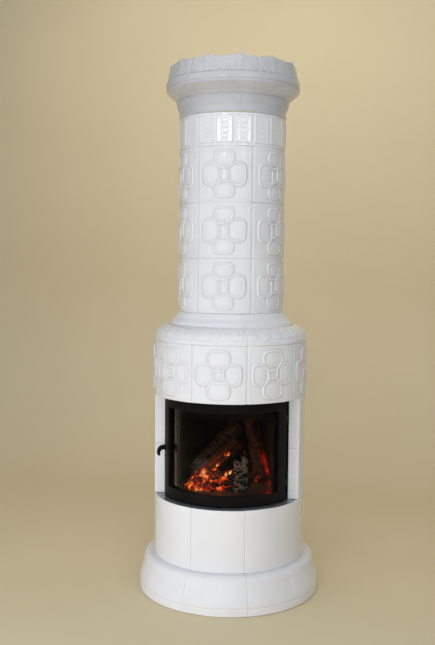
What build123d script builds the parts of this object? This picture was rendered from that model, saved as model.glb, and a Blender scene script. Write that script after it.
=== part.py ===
from build123d import *
import math
import os

# Round tiled stove with a fire insert behind a curved glass door.
# Millimetres, +Z up, front towards -Y, origin on the floor at the stove's upright axis.
# Angles in plan are counted from the front (-Y) and grow towards +X.

# ---- courses of tiles, from the floor up ----
PLINTH_TOP = 148.0
LEDGE_TOP = 393.0
SIDE_JOINT = 598.0
OPENING_TOP = 803.0
HEADER_TOP = 1026.0
SHOULDER_TOP = 1141.0
COLUMN_COURSE = 215.0
COLUMN_COURSES = 3
FRIEZE_HEIGHT = 127.0
CORNICE_HEIGHT = 143.0
CREST_VALLEY = 62.0
CREST_PEAK = 71.0

# ---- tiles in plan ----
BODY_R = 310.0
HEADER_R = 312.0
COLUMN_R = 213.5
BODY_TILES = 9
COLUMN_TILES = 6
TILE_DEPTH = 30.0
TILE_FACE = 13.0
TILE_RIM = 12.0
TILE_JOINT = 0.6
TILE_EDGE = 2.5
LEDGE_INNER_R = 226.0
LEDGE_THICK = 24.0
PANEL_RELIEF = 2.0
PANEL_SPAN = 17.2
PANEL_PITCH = 20.0
PANEL_HEIGHT = 104.0
PANELS_PER_TILE = 3
LEAVES_PER_TILE = 2

# ---- mouldings, measured outward from the course they grow out of ----
PLINTH_R = 371.0
PLINTH_WALL = 26.0
SHOULDER_WALL = 28.0
CORNICE_R = 270.0
CORNICE_LEDGE_R = 215.0
CREST_R = 263.0
CREST_LEAN = 11.0
CREST_THICK = 16.0

# ---- fire opening ----
JAMB_Y = -95.0
JAMB_INNER_X = 252.0
JAMB_THICK = 22.0
LINTEL_REACH = 42.0
LINTEL_THICK = 4.0

# ---- fire insert ----
DOOR_R = 280.0
DOOR_THICK = 12.0
DOOR_SPAN = 61.5
DOOR_GAP = 5.0
GLASS_SPAN = 52.0
RAIL_BOTTOM = 45.0
RAIL_TOP = 37.0
GLASS_THICK = 4.0
GLASS_LAP = 7.0
GASKET_WIDTH = 9.0
FRAME_THICK = 10.0
FRAME_GAP = 18.0
FRAME_OPEN_SIDE = 4.5
FRAME_OPEN_BELOW = 9.0
FRAME_OPEN_ABOVE = 12.0
NOTCH_SPAN = 2.2
NOTCH_HALF_HEIGHT = 26.0
SHELL_WALL = 5.0
SHELL_SIDE_INSET = 0.4
SHELL_BACK_HALF_WIDTH = 140.0
SHELL_BACK_Y = 185.0
LINING_THICK = 30.0
LINING_TOP = 700.0
LINING_FRONT_Y = -105.0
BAFFLE_THICK = 25.0
BAFFLE_FRONT_Y = -55.0
AIR_WASH_DEPTH = 26.0
AIR_WASH_LIP = 6.0
AIR_WASH_SHEET = 2.0
GRATE_WIDTH = 200.0
GRATE_LENGTH = 150.0
GRATE_THICK = 10.0
GRATE_Y = -30.0
GRATE_SLOT = 8.0
GRATE_SLOTS = 6
AIR_BOX_R = 205.0
AIR_BOX_HEIGHT = 78.0
AIR_PORTS = 5
AIR_PORT_WIDTH = 22.0
AIR_PORT_HEIGHT = 20.0
AIR_PORT_PITCH = 12.0
SHUTTER_THICK = 3.0
SHUTTER_HEIGHT = 36.0
SHUTTER_RAISE = 14.0
SHUTTER_TRAVEL = 6.0
LEVER_THICK = 3.0
LEVER_WIDTH = 18.0
PAN_DEPTH = 62.0
GRATE_SEAT = 6.0

# ---- door hardware ----
HINGE_X = 246.0
HINGE_Y = -113.0
HINGE_PIN_R = 3.5
HINGE_EYE_R = 6.5
HINGE_EYE_HEIGHT = 24.0
HINGE_FROM_END = 70.0
HANDLE_ANGLE = -57.0
HANDLE_Z = 597.0
SPINDLE_R = 6.0
HANDLE_REACH = 36.0
HANDLE_DROP = 30.0
HANDLE_WIDTH = 13.0
SPINDLE_SEAT = 11.0
TONGUE_THICK = 5.0
TONGUE_HUB_R = 9.0
TONGUE_LENGTH = 20.0
KEEPER_SPAN = 1.0
LUG_HEIGHT = 7.0
LUG_WIDTH = 8.0
LUG_LENGTH = 23.4
LUG_TURN = 203.4
DOOR_BEVEL = 2.0
GLASS_ROPE = 3.5
GASKET_INSET = 12.0
CLIP_BESIDE_GLASS = 3.4
CLIP_FROM_END = 45.0
CLIP_HEIGHT = 16.0
CLIP_THICK = 2.0
CLIP_SCREW_R = 2.0

# ---- flue and load in the column ----
FLUE_R = 75.0
FLUE_WALL = 2.0
FLUE_BEND_R = 100.0
COLLAR_WALL = 2.5
COLLAR_HEIGHT = 50.0
COLLAR_FLANGE = 4.0
FLUE_END_Y = 290.0
SEAL_WIDTH = 4.5
SEAL_FROM_FACE = 4.0
SEAL_LENGTH = 22.0
BEAD_RISE = 2.5
BEAD_WIDTH = 4.0
MASS_INNER_R = 82.0
MASS_BESIDE_TILES = 15.5
MASS_RING_HEIGHT = 84.0
MASS_RINGS = 5
CARRIER_THICK = 6.0

# ---- fire load ----
EMBER_X = -52.0
EMBER_Y = -158.0
EMBER_LENGTH = 176.0
EMBER_WIDTH = 80.0
EMBER_HEIGHT = 36.0
EMBER_SLOPE = 26.0
# Each log: width, length, spin about its own length, lean from upright, heading of the lean counted
# from straight back towards +X, and place of its foot in X.
BIRCH_LOG = (62.0, 128.0, 350.0, 3.0, 0.0, 71.0)
UPPER_LOG = (82.0, 280.0, 30.0, 49.0, 46.0, -140.0)
LOWER_LOG = (68.0, 235.0, 200.0, 57.0, 52.0, -124.0)
RIGHT_LOG = (66.0, 285.0, 190.0, 42.0, -22.0, 148.0)
BIRCH_BACK_Y = -134.0
LOWER_BACK_Y = 44.0

# ---- base ----
BASE_R = 274.0
BASE_THICK = 50.0
STAND_RING_INNER_R = 120.0
LEG_SIZE = 40.0
LEG_R = 165.0
FOOT_R = 24.0
FOOT_THICK = 6.0
FOOT_NUT_RAISE = 8.0
NUT_HEIGHT = 10.0
STUD_R = 6.0
STUD_ABOVE_NUT = 30.0
NUT_R = 11.0

# ---- clearances ----
RUN = 0.3
PIN_RUN = 0.06
SEAT = 0.1

# ---- heights that follow from the sizes above ----
COLUMN_TOP = SHOULDER_TOP + COLUMN_COURSES * COLUMN_COURSE
FRIEZE_TOP = COLUMN_TOP + FRIEZE_HEIGHT
CORNICE_TOP = FRIEZE_TOP + CORNICE_HEIGHT
TILE_INNER_R = BODY_R - TILE_DEPTH
COLUMN_INNER_R = COLUMN_R - TILE_DEPTH
MASS_OUTER_R = COLUMN_INNER_R - MASS_BESIDE_TILES
LINTEL_INNER_R = TILE_INNER_R - LINTEL_REACH
DOOR_BOTTOM = LEDGE_TOP + DOOR_GAP
DOOR_TOP = OPENING_TOP - DOOR_GAP
GLASS_BOTTOM = DOOR_BOTTOM + RAIL_BOTTOM
GLASS_TOP = DOOR_TOP - RAIL_TOP
DOOR_BACK_R = DOOR_R - DOOR_THICK
COLLAR_R = FLUE_R - FLUE_WALL - RUN
GLASS_OUTER_R = DOOR_BACK_R - SEAT
GLASS_INNER_R = GLASS_OUTER_R - GLASS_THICK
FRAME_R = DOOR_R - FRAME_GAP
FRAME_BACK_R = FRAME_R - FRAME_THICK
SHELL_FRONT_R = FRAME_BACK_R - SEAT
SHELL_HALF_WIDTH = SHELL_FRONT_R * math.sin(math.radians(DOOR_SPAN)) - SHELL_SIDE_INSET
SHELL_TOP = DOOR_TOP + 2.0
HEARTH_PLATE_TOP = DOOR_BOTTOM + SHELL_WALL
HEARTH_TOP = HEARTH_PLATE_TOP + LINING_THICK
AIR_BOX_BOTTOM = DOOR_BOTTOM - AIR_BOX_HEIGHT
FLUE_OUTLET_Z = SHOULDER_TOP + (COLUMN_COURSES - 0.5) * COLUMN_COURSE
FRAME_OPEN_SPAN = GLASS_SPAN + FRAME_OPEN_SIDE
CLIP_ANGLE = GLASS_SPAN + CLIP_BESIDE_GLASS
FRAME_OPEN_BOTTOM = GLASS_BOTTOM - FRAME_OPEN_BELOW
FRAME_OPEN_TOP = GLASS_TOP + FRAME_OPEN_ABOVE
BACK_LINING_Y = SHELL_BACK_Y - SHELL_WALL - LINING_THICK
SHUTTER_BOTTOM = AIR_BOX_BOTTOM + SHUTTER_RAISE
SHUTTER_TOP = SHUTTER_BOTTOM + SHUTTER_HEIGHT
SHUTTER_INNER_R = AIR_BOX_R + RUN
SHUTTER_SPAN = (AIR_PORTS / 2 + 0.5) * AIR_PORT_PITCH
FOOT_TOP = BASE_THICK + FOOT_THICK
NUT_BOTTOM = FOOT_TOP + FOOT_NUT_RAISE
NUT_TOP = NUT_BOTTOM + NUT_HEIGHT

BODY_PITCH = 360.0 / BODY_TILES
COLUMN_PITCH = 360.0 / COLUMN_TILES


# ---- helpers ----
def polar(radius, angle):
    """Plan point at a radius and an angle counted from the front."""
    turn = math.radians(angle)
    return (radius * math.sin(turn), -radius * math.cos(turn))


def turned(shape, angle):
    """A copy of a shape that faces the front, turned about the stove's axis."""
    return Rot(0, 0, angle) * shape


def sector(outline, start, end):
    """Solid swept by a (radius, height) outline about the axis from one angle to another."""
    face = Plane.XZ * make_face(Polyline(*outline, close=True))
    return Rot(0, 0, start - 90) * revolve(face, Axis.Z, end - start)


def band(inner, outer, bottom, top, start, end):
    """Sector with a rectangular section."""
    outline = [(inner, bottom), (outer, bottom), (outer, top), (inner, top)]
    return sector(outline, start, end)


def ring(inner, outer, bottom, top):
    """Full ring with a rectangular section."""
    height = top - bottom
    solid = Cylinder(outer, height) - Cylinder(inner, height + 1)
    return Pos(0, 0, (bottom + top) / 2) * solid


def block(x0, x1, y0, y1, z0, z1):
    """Box between two corners."""
    centre = Pos((x0 + x1) / 2, (y0 + y1) / 2, (z0 + z1) / 2)
    return centre * Box(x1 - x0, y1 - y0, z1 - z0)


def prism(plan, bottom, top):
    """Plan face raised between two heights."""
    return Pos(0, 0, bottom) * extrude(plan, top - bottom)


def angle_of(length, radius):
    """Angle that a short length covers on a circle."""
    return math.degrees(length / radius)


def write(node, solids):
    """Write one sub-part, made of one or more separate solids."""
    shapes = [solid for shape in solids for solid in shape.solids()]
    whole = shapes[0] if len(shapes) == 1 else Compound(children=shapes)
    export_step(whole, f"parts/{node}.step")


# ---- tiles ----
def hollow_tile(face_r, bottom, top, pitch):
    """Plain curved tile with rounded face edges and a hollow back inside its rim."""
    half = pitch / 2 - angle_of(TILE_JOINT / 2, face_r)
    back_r = face_r - TILE_DEPTH
    tile = band(back_r, face_r, bottom, top, -half, half)
    face = tile.faces().filter_by(GeomType.CYLINDER).sort_by(SortBy.AREA)[-1]
    tile = fillet(face.edges(), TILE_EDGE)
    rim = angle_of(TILE_RIM, back_r)
    hollow = band(back_r - 1, face_r - TILE_FACE, bottom + TILE_RIM, top - TILE_RIM, rim - half, half - rim)
    return tile - hollow


def around(tile, pitch, count, first=0.0):
    """Copies of a front tile at every pitch."""
    return [turned(tile, first + number * pitch) for number in range(count)]


def plinth_tiles():
    """Moulded foot: a shelf, a rolled nose, a slight hollow and a wide base band."""
    inner = TILE_INNER_R + 2
    outline = [
        (inner, PLINTH_TOP), (BODY_R + 20, PLINTH_TOP), (BODY_R + 25, PLINTH_TOP - 1),
        (BODY_R + 35, PLINTH_TOP - 8), (BODY_R + 40, PLINTH_TOP - 20), (BODY_R + 42.5, PLINTH_TOP - 36),
        (PLINTH_R - 15, PLINTH_TOP - 50), (PLINTH_R - 8.5, PLINTH_TOP - 73),
        (PLINTH_R - 2, PLINTH_TOP - 96), (PLINTH_R, 35),
        (PLINTH_R - 1.5, 31), (PLINTH_R, 27), (PLINTH_R, 5), (PLINTH_R - 5, 0),
        (PLINTH_R - PLINTH_WALL, 0), (PLINTH_R - PLINTH_WALL - 8, 40),
        (BODY_R + 17, PLINTH_TOP - PLINTH_WALL - 8), (BODY_R, PLINTH_TOP - PLINTH_WALL),
        (inner, PLINTH_TOP - PLINTH_WALL),
    ]
    half = BODY_PITCH / 2 - angle_of(TILE_JOINT / 2, PLINTH_R)
    return around(sector(outline, -half, half), BODY_PITCH, BODY_TILES)


def lower_tiles():
    """Plain course whose glazed inner ledge carries the side tiles and shows under the door."""
    tile = hollow_tile(BODY_R, PLINTH_TOP, LEDGE_TOP, BODY_PITCH)
    half = BODY_PITCH / 2 - angle_of(TILE_JOINT / 2, LEDGE_INNER_R)
    ledge = band(LEDGE_INNER_R, TILE_INNER_R + TILE_RIM, LEDGE_TOP - LEDGE_THICK, LEDGE_TOP, -half, half)
    return around(tile + ledge, BODY_PITCH, BODY_TILES)


def side_courses(bottom, top):
    """Tiles beside and behind the opening, and the two corner tiles with their flat returns."""
    tile = hollow_tile(BODY_R, bottom, top, BODY_PITCH)
    opening_tiles = 5
    plain = around(tile, BODY_PITCH, BODY_TILES - opening_tiles, (opening_tiles + 1) / 2 * BODY_PITCH)
    corner = turned(tile, 2 * BODY_PITCH)
    corner -= block(0, PLINTH_R, -PLINTH_R, JAMB_Y, bottom - 1, top + 1)
    jamb = block(JAMB_INNER_X, BODY_R, JAMB_Y, JAMB_Y + JAMB_THICK, bottom, top)
    jamb &= Pos(0, 0, (bottom + top) / 2) * Cylinder(BODY_R, top - bottom)
    right = corner + jamb
    left = mirror(right, Plane.YZ)
    return plain, left, right


def header_tiles():
    """Course over the opening; its inner rim is raised to sit on the lintel ring."""
    tile = hollow_tile(HEADER_R, OPENING_TOP, HEADER_TOP, BODY_PITCH)
    inner = HEADER_R - TILE_DEPTH - 1
    seat = ring(inner, BODY_R - TILE_FACE, OPENING_TOP - 1, OPENING_TOP + LINTEL_THICK)
    return around(tile - seat, BODY_PITCH, BODY_TILES)


def shoulder_tiles():
    """Step from the wide body to the column: a bead, a leaf roll, a groove and a hollow neck."""
    outline = [
        (HEADER_R - 1, HEADER_TOP), (HEADER_R + 0.5, HEADER_TOP + 4), (HEADER_R + 0.5, HEADER_TOP + 14),
        (HEADER_R - 3.6, HEADER_TOP + 19), (HEADER_R - 7, HEADER_TOP + 29), (HEADER_R - 15, HEADER_TOP + 40),
        (HEADER_R - 31, HEADER_TOP + 54), (HEADER_R - 47, HEADER_TOP + 62), (HEADER_R - 56, HEADER_TOP + 62),
        (COLUMN_R + 40, HEADER_TOP + 66), (COLUMN_R + 37, HEADER_TOP + 74),
        (COLUMN_R + 32.5, SHOULDER_TOP - 35),
        (COLUMN_R + 20.5, SHOULDER_TOP - 23), (COLUMN_R + 12.5, SHOULDER_TOP - 11),
        (COLUMN_R + 8, SHOULDER_TOP - 4), (COLUMN_R + 4, SHOULDER_TOP),
        (COLUMN_INNER_R - 14, SHOULDER_TOP), (COLUMN_INNER_R - 14, SHOULDER_TOP - SHOULDER_WALL),
        (COLUMN_R, SHOULDER_TOP - SHOULDER_WALL - 6), (HEADER_R - 66, HEADER_TOP + 34),
        (HEADER_R - TILE_DEPTH, HEADER_TOP + 10), (HEADER_R - TILE_DEPTH, HEADER_TOP),
    ]
    half = BODY_PITCH / 2 - angle_of(TILE_JOINT / 2, HEADER_R)
    return around(sector(outline, -half, half), BODY_PITCH, BODY_TILES)


def column_tiles(number):
    """One relief course of the column, counted from the bottom."""
    bottom = SHOULDER_TOP + number * COLUMN_COURSE
    tile = hollow_tile(COLUMN_R, bottom, bottom + COLUMN_COURSE, COLUMN_PITCH)
    tiles = around(tile, COLUMN_PITCH, COLUMN_TILES)
    if number == COLUMN_COURSES - 1:
        back = COLUMN_TILES // 2
        tiles[back] = flue_tile(tiles[back])
    return tiles


def flue_tile(tile):
    """Back tile with a solid boss round the hole that the rear flue passes through."""
    half_course = COLUMN_COURSE / 2
    hole_r = FLUE_R + SEAL_WIDTH
    place = Pos(0, COLUMN_R, FLUE_OUTLET_Z) * Rot(90, 0, 0)
    low = FLUE_OUTLET_Z - half_course
    high = FLUE_OUTLET_Z + half_course
    wall = ring(COLUMN_INNER_R, COLUMN_R - TILE_FACE / 2, low, high)
    boss = wall & place * Cylinder(hole_r + TILE_RIM, 4 * TILE_DEPTH)
    hole = place * Cylinder(hole_r, 4 * TILE_DEPTH)
    return tile + boss - hole


def frieze_tiles():
    """Course with three raised upright panels on each tile."""
    tile = hollow_tile(COLUMN_R, COLUMN_TOP, FRIEZE_TOP, COLUMN_PITCH)
    middle = (COLUMN_TOP + FRIEZE_TOP) / 2
    low = middle - PANEL_HEIGHT / 2
    high = middle + PANEL_HEIGHT / 2
    panel = band(COLUMN_R - 1, COLUMN_R + PANEL_RELIEF, low, high, -PANEL_SPAN / 2, PANEL_SPAN / 2)
    side = (PANELS_PER_TILE - 1) / 2
    for number in range(PANELS_PER_TILE):
        tile += turned(panel, (number - side) * PANEL_PITCH)
    return around(tile, COLUMN_PITCH, COLUMN_TILES)


def cornice_tiles():
    """Crown moulding: a bead, a leaf band, an undercut, a cove and a flat fascia."""
    inner_r = COLUMN_INNER_R
    ledge_r = CORNICE_LEDGE_R + 21
    ledge = CORNICE_TOP - 12
    outline = [
        (COLUMN_R, FRIEZE_TOP), (COLUMN_R + 3, FRIEZE_TOP + 4), (COLUMN_R + 3, FRIEZE_TOP + 12),
        (COLUMN_R + 1.5, FRIEZE_TOP + 14), (COLUMN_R + 3.5, FRIEZE_TOP + 32),
        (COLUMN_R + 6, FRIEZE_TOP + 36), (COLUMN_R + 14.5, FRIEZE_TOP + 66),
        (COLUMN_R + 13, FRIEZE_TOP + 69), (COLUMN_R + 13, FRIEZE_TOP + 72),
        (COLUMN_R + 17, FRIEZE_TOP + 73), (COLUMN_R + 20, FRIEZE_TOP + 78),
        (COLUMN_R + 33, FRIEZE_TOP + 88), (COLUMN_R + 45.5, CORNICE_TOP - 44),
        (CORNICE_R - 2.5, CORNICE_TOP - 37), (CORNICE_R, CORNICE_TOP - 31),
        (CORNICE_R, CORNICE_TOP - 4), (CORNICE_R - 3, CORNICE_TOP), (ledge_r, CORNICE_TOP),
        (ledge_r, ledge), (CORNICE_LEDGE_R, ledge), (CORNICE_LEDGE_R, FRIEZE_TOP + 95),
        (inner_r, FRIEZE_TOP + 50), (inner_r, FRIEZE_TOP),
    ]
    half = COLUMN_PITCH / 2 - angle_of(TILE_JOINT / 2, CORNICE_R)
    return around(sector(outline, -half, half), COLUMN_PITCH, COLUMN_TILES)


def crest_tiles():
    """Leaning ring whose top edge runs in round leaves, two to a tile."""
    outline = [
        (CREST_R - CREST_THICK, CORNICE_TOP), (CREST_R, CORNICE_TOP),
        (CREST_R - CREST_LEAN, CORNICE_TOP + CREST_PEAK),
        (CREST_R - CREST_LEAN - CREST_THICK, CORNICE_TOP + CREST_PEAK),
    ]
    pitch = COLUMN_PITCH / LEAVES_PER_TILE
    half = COLUMN_PITCH / 2 - angle_of(TILE_JOINT / 2, CREST_R)
    half_width = CREST_R * math.sin(math.radians(pitch / 2)) + TILE_JOINT
    corner = (half_width, CREST_VALLEY)
    sides = Polyline(corner, (half_width, -1), (-half_width, -1), (-half_width, CREST_VALLEY))
    arch = ThreePointArc((-half_width, CREST_VALLEY), (0, CREST_PEAK), corner)
    leaf = Pos(0, 0, CORNICE_TOP) * extrude(Plane.XZ * make_face(sides + arch), CREST_R * 2)
    side = (LEAVES_PER_TILE - 1) / 2
    leaves = [turned(leaf, (number - side) * pitch) for number in range(LEAVES_PER_TILE)]
    space = leaves[0]
    for other in leaves[1:]:
        space += other
    return around(sector(outline, -half, half) & space, COLUMN_PITCH, COLUMN_TILES)


def top_cover():
    """Plate that closes the column inside the crest."""
    radius = CORNICE_LEDGE_R + 21 - RUN
    bottom = CORNICE_TOP - 12
    return [Pos(0, 0, bottom + CARRIER_THICK / 2) * Cylinder(radius, CARRIER_THICK)]


# ---- what carries the tiles and the insert ----
def base_slab():
    """Cast slab on the floor inside the foot."""
    return [Pos(0, 0, BASE_THICK / 2) * Cylinder(BASE_R, BASE_THICK)]


def leg_places():
    """Plan points of the four legs."""
    return [polar(LEG_R, angle) for angle in (45, 135, 225, 315)]


def insert_stand():
    """Four square legs under a ring plate, with a bored plate at the bottom of each leg."""
    plate_bottom = AIR_BOX_BOTTOM - CARRIER_THICK
    stand = ring(STAND_RING_INNER_R, AIR_BOX_R, plate_bottom, AIR_BOX_BOTTOM)
    half = LEG_SIZE / 2
    wall = 3.0
    for x, y in leg_places():
        leg = block(x - half, x + half, y - half, y + half, NUT_TOP, plate_bottom)
        inside = half - wall
        leg -= block(x - inside, x + inside, y - inside, y + inside, NUT_TOP + 5, plate_bottom)
        leg -= Pos(x, y, NUT_TOP) * Cylinder(STUD_R + RUN, 20)
        stand += leg
    return [stand]


def levelling_feet():
    """Pad, stud and nut under each leg."""
    feet = []
    for x, y in leg_places():
        pad = Pos(x, y, (BASE_THICK + FOOT_TOP) / 2) * Cylinder(FOOT_R, FOOT_TOP - BASE_THICK)
        stud_top = NUT_TOP + STUD_ABOVE_NUT
        stud = Pos(x, y, (FOOT_TOP + stud_top) / 2) * Cylinder(STUD_R, stud_top - FOOT_TOP)
        nut = Pos(x, y, NUT_BOTTOM) * extrude(RegularPolygon(NUT_R, 6), NUT_TOP - NUT_BOTTOM)
        feet.append(pad + stud + nut)
    return feet


def lintel_ring():
    """Flat steel ring on the side tiles that carries the header course over the opening."""
    return [ring(LINTEL_INNER_R, BODY_R - TILE_FACE - RUN, OPENING_TOP, OPENING_TOP + LINTEL_THICK)]


def column_carrier():
    """Steel ring plate on the shoulder that carries the thermal mass."""
    outer = COLUMN_INNER_R - RUN
    return [ring(FLUE_R + SEAL_WIDTH, outer, SHOULDER_TOP, SHOULDER_TOP + CARRIER_THICK)]


def thermal_mass_rings():
    """Stack of heat-storing rings round the flue pipe."""
    rings = []
    for number in range(MASS_RINGS):
        bottom = SHOULDER_TOP + CARRIER_THICK + number * MASS_RING_HEIGHT
        rings.append(ring(MASS_INNER_R, MASS_OUTER_R, bottom, bottom + MASS_RING_HEIGHT))
    return rings


def tile_clamps(face_r, pitch, angles, heights):
    """Steel U clips that hold the rims of two neighbouring tiles together from behind."""
    back_r = face_r - TILE_DEPTH
    rim = angle_of(TILE_RIM + TILE_JOINT / 2 + SEAT, back_r)
    leg = angle_of(2.0, back_r)
    clip = band(back_r - 2 - SEAT, back_r - SEAT, -5, 5, -rim - leg, rim + leg)
    clip += band(back_r - 1, back_r + 10, -5, 5, -rim - leg, -rim)
    clip += band(back_r - 1, back_r + 10, -5, 5, rim, rim + leg)
    return [Pos(0, 0, height) * turned(clip, angle) for height in heights for angle in angles]


def body_tile_clamps():
    """Clips in the wide body, at every joint clear of the fire opening and the ledge."""
    joints = [(number + 0.5) * BODY_PITCH for number in range(BODY_TILES)]
    behind = [angle for angle in joints if 2 * BODY_PITCH < angle < 7 * BODY_PITCH]
    side_height = SIDE_JOINT - LEDGE_TOP
    clips = tile_clamps(BODY_R, BODY_PITCH, joints, [(PLINTH_TOP + LEDGE_TOP) / 2])
    side_middles = [LEDGE_TOP + side_height / 2, SIDE_JOINT + side_height / 2]
    clips += tile_clamps(BODY_R, BODY_PITCH, behind, side_middles)
    clips += tile_clamps(HEADER_R, BODY_PITCH, joints, [(OPENING_TOP + HEADER_TOP) / 2])
    return clips


def column_tile_clamps():
    """Clips at every joint of the column and the frieze."""
    joints = [(number + 0.5) * COLUMN_PITCH for number in range(COLUMN_TILES)]
    heights = [SHOULDER_TOP + (number + 0.25) * COLUMN_COURSE for number in range(COLUMN_COURSES)]
    return tile_clamps(COLUMN_R, COLUMN_PITCH, joints, heights + [(COLUMN_TOP + FRIEZE_TOP) / 2])


# ---- fire insert ----
def shell_plan(inset):
    """Plan of the insert: round front, straight sides, back corners cut in; inset all round."""
    front_r = SHELL_FRONT_R - inset
    half_width = SHELL_HALF_WIDTH - inset
    corner_y = -math.sqrt(front_r ** 2 - half_width ** 2)
    slope = math.hypot(SHELL_HALF_WIDTH - SHELL_BACK_HALF_WIDTH, SHELL_BACK_Y)
    side_drop = inset * (slope - SHELL_BACK_Y) / (SHELL_HALF_WIDTH - SHELL_BACK_HALF_WIDTH)
    back_drop = inset * (slope - SHELL_HALF_WIDTH + SHELL_BACK_HALF_WIDTH) / SHELL_BACK_Y
    back_half = SHELL_BACK_HALF_WIDTH - back_drop
    back_y = SHELL_BACK_Y - inset
    arc = ThreePointArc((-half_width, corner_y), (0, -front_r), (half_width, corner_y))
    sides = Polyline(
        (half_width, corner_y), (half_width, -side_drop), (back_half, back_y),
        (-back_half, back_y), (-half_width, -side_drop), (-half_width, corner_y),
    )
    return make_face(arc + sides)


def grate_hole(margin, bottom, top):
    """Upright shaft under the grate, wider than the grate by a margin."""
    half_x = GRATE_WIDTH / 2 + margin
    half_y = GRATE_LENGTH / 2 + margin
    return block(-half_x, half_x, GRATE_Y - half_y, GRATE_Y + half_y, bottom, top)


def front_opening(span, bottom, top):
    """Space in front of the hearth between two angles."""
    return band(SHELL_FRONT_R - 60, DOOR_R, bottom, top, -span, span)


def latch_notch():
    """Space beside the opening in which the latch tongue turns."""
    edge = HANDLE_ANGLE - NOTCH_SPAN
    low = HANDLE_Z - NOTCH_HALF_HEIGHT
    high = HANDLE_Z + NOTCH_HALF_HEIGHT
    return band(SHELL_FRONT_R - 60, FRAME_R + 1, low, high, edge, -FRAME_OPEN_SPAN + 1)


def firebox_shell():
    """Welded steel box, open at the front, with holes for the grate and the flue."""
    shell = prism(shell_plan(0), DOOR_BOTTOM, SHELL_TOP)
    shell -= prism(shell_plan(SHELL_WALL), HEARTH_PLATE_TOP, SHELL_TOP - SHELL_WALL)
    shell -= front_opening(FRAME_OPEN_SPAN, FRAME_OPEN_BOTTOM, FRAME_OPEN_TOP)
    shell -= latch_notch() & front_opening(-HANDLE_ANGLE + NOTCH_SPAN, FRAME_OPEN_BOTTOM, FRAME_OPEN_TOP)
    shell -= grate_hole(-GRATE_SEAT, DOOR_BOTTOM - 1, HEARTH_PLATE_TOP + 1)
    shell -= Pos(0, 0, SHELL_TOP) * Cylinder(COLLAR_R - COLLAR_WALL, 4 * SHELL_WALL)
    return [shell]


def front_frame():
    """Curved steel frame that the door closes on, with two pairs of hinge lugs on the right."""
    frame = band(FRAME_BACK_R, FRAME_R, DOOR_BOTTOM, DOOR_TOP, -DOOR_SPAN, DOOR_SPAN)
    span = FRAME_OPEN_SPAN
    frame -= band(FRAME_BACK_R - 1, FRAME_R + 1, FRAME_OPEN_BOTTOM, FRAME_OPEN_TOP, -span, span)
    frame -= latch_notch()
    for z in hinge_heights():
        for side in (-1, 1):
            frame += hinge_lug(z + side * (HINGE_EYE_HEIGHT + LUG_HEIGHT + 2 * RUN) / 2)
    for z in hinge_heights():
        frame -= hinge_bore(z)
    return [frame]


def hinge_lug(middle):
    """Fixed eye with an arm that runs back to the edge of the front frame."""
    eye = Cylinder(HINGE_EYE_R, LUG_HEIGHT)
    arm = block(0, LUG_LENGTH, -LUG_WIDTH / 2, LUG_WIDTH / 2, -LUG_HEIGHT / 2, LUG_HEIGHT / 2)
    return Pos(HINGE_X, HINGE_Y, middle) * (eye + Rot(0, 0, LUG_TURN) * arm)


def hinge_bore(z):
    """Running bore for a hinge pin through the door's eye and both lugs."""
    return Pos(HINGE_X, HINGE_Y, z) * Cylinder(HINGE_PIN_R + PIN_RUN, HINGE_EYE_HEIGHT + 4 * LUG_HEIGHT)


def hinge_pins():
    """Headed pin through each pair of lugs and the door's eye between them."""
    pins = []
    reach = HINGE_EYE_HEIGHT / 2 + LUG_HEIGHT + RUN
    for z in hinge_heights():
        low = z - reach
        high = z + reach
        pin = Pos(HINGE_X, HINGE_Y, (low + high) / 2) * Cylinder(HINGE_PIN_R, high - low)
        head = Pos(HINGE_X, HINGE_Y, high + 1.5) * Cylinder(HINGE_EYE_R - 1, 3)
        pins.append(pin + head)
    return pins


def latch_keeper():
    """Stop plate on the edge of the notch that the closed tongue lies against."""
    edge = HANDLE_ANGLE - NOTCH_SPAN
    low = HANDLE_Z + TONGUE_HUB_R + 1
    return [band(FRAME_BACK_R, FRAME_R - 1, low, low + 13, edge + 0.03, edge + KEEPER_SPAN)]


def lining(front_y, back_y, side):
    """Upright refractory slab along the left (-1) or right (1) wall, or the back (0)."""
    outer = shell_plan(SHELL_WALL + RUN)
    inner = shell_plan(SHELL_WALL + LINING_THICK)
    wall = prism(outer, HEARTH_TOP, LINING_TOP) - prism(inner, HEARTH_TOP, LINING_TOP)
    reach = SHELL_HALF_WIDTH
    if side == 0:
        return [wall & block(-reach, reach, front_y, back_y, HEARTH_TOP, LINING_TOP)]
    low = 0 if side > 0 else -reach
    return [wall & block(low, low + reach, front_y, back_y, HEARTH_TOP, LINING_TOP)]


def hearth_floor():
    """Refractory floor with a stepped seat for the grate."""
    floor = prism(shell_plan(SHELL_WALL + RUN), HEARTH_PLATE_TOP, HEARTH_TOP)
    floor -= grate_hole(SEAT + RUN, HEARTH_TOP - GRATE_THICK, HEARTH_TOP + 1)
    floor -= grate_hole(-GRATE_SEAT, HEARTH_PLATE_TOP - 1, HEARTH_TOP)
    return [floor]


def grate():
    """Cast grate with a row of slots."""
    plate = grate_hole(0, HEARTH_TOP - GRATE_THICK, HEARTH_TOP)
    pitch = GRATE_WIDTH / (GRATE_SLOTS + 1)
    for number in range(GRATE_SLOTS):
        x = (number + 1) * pitch - GRATE_WIDTH / 2
        half_length = GRATE_LENGTH / 2 - 18
        slot = SlotCenterToCenter(2 * half_length - GRATE_SLOT, GRATE_SLOT, rotation=90)
        plate -= Pos(x, GRATE_Y, HEARTH_TOP - GRATE_THICK - 1) * extrude(slot, GRATE_THICK + 2)
    return [plate]


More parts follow.
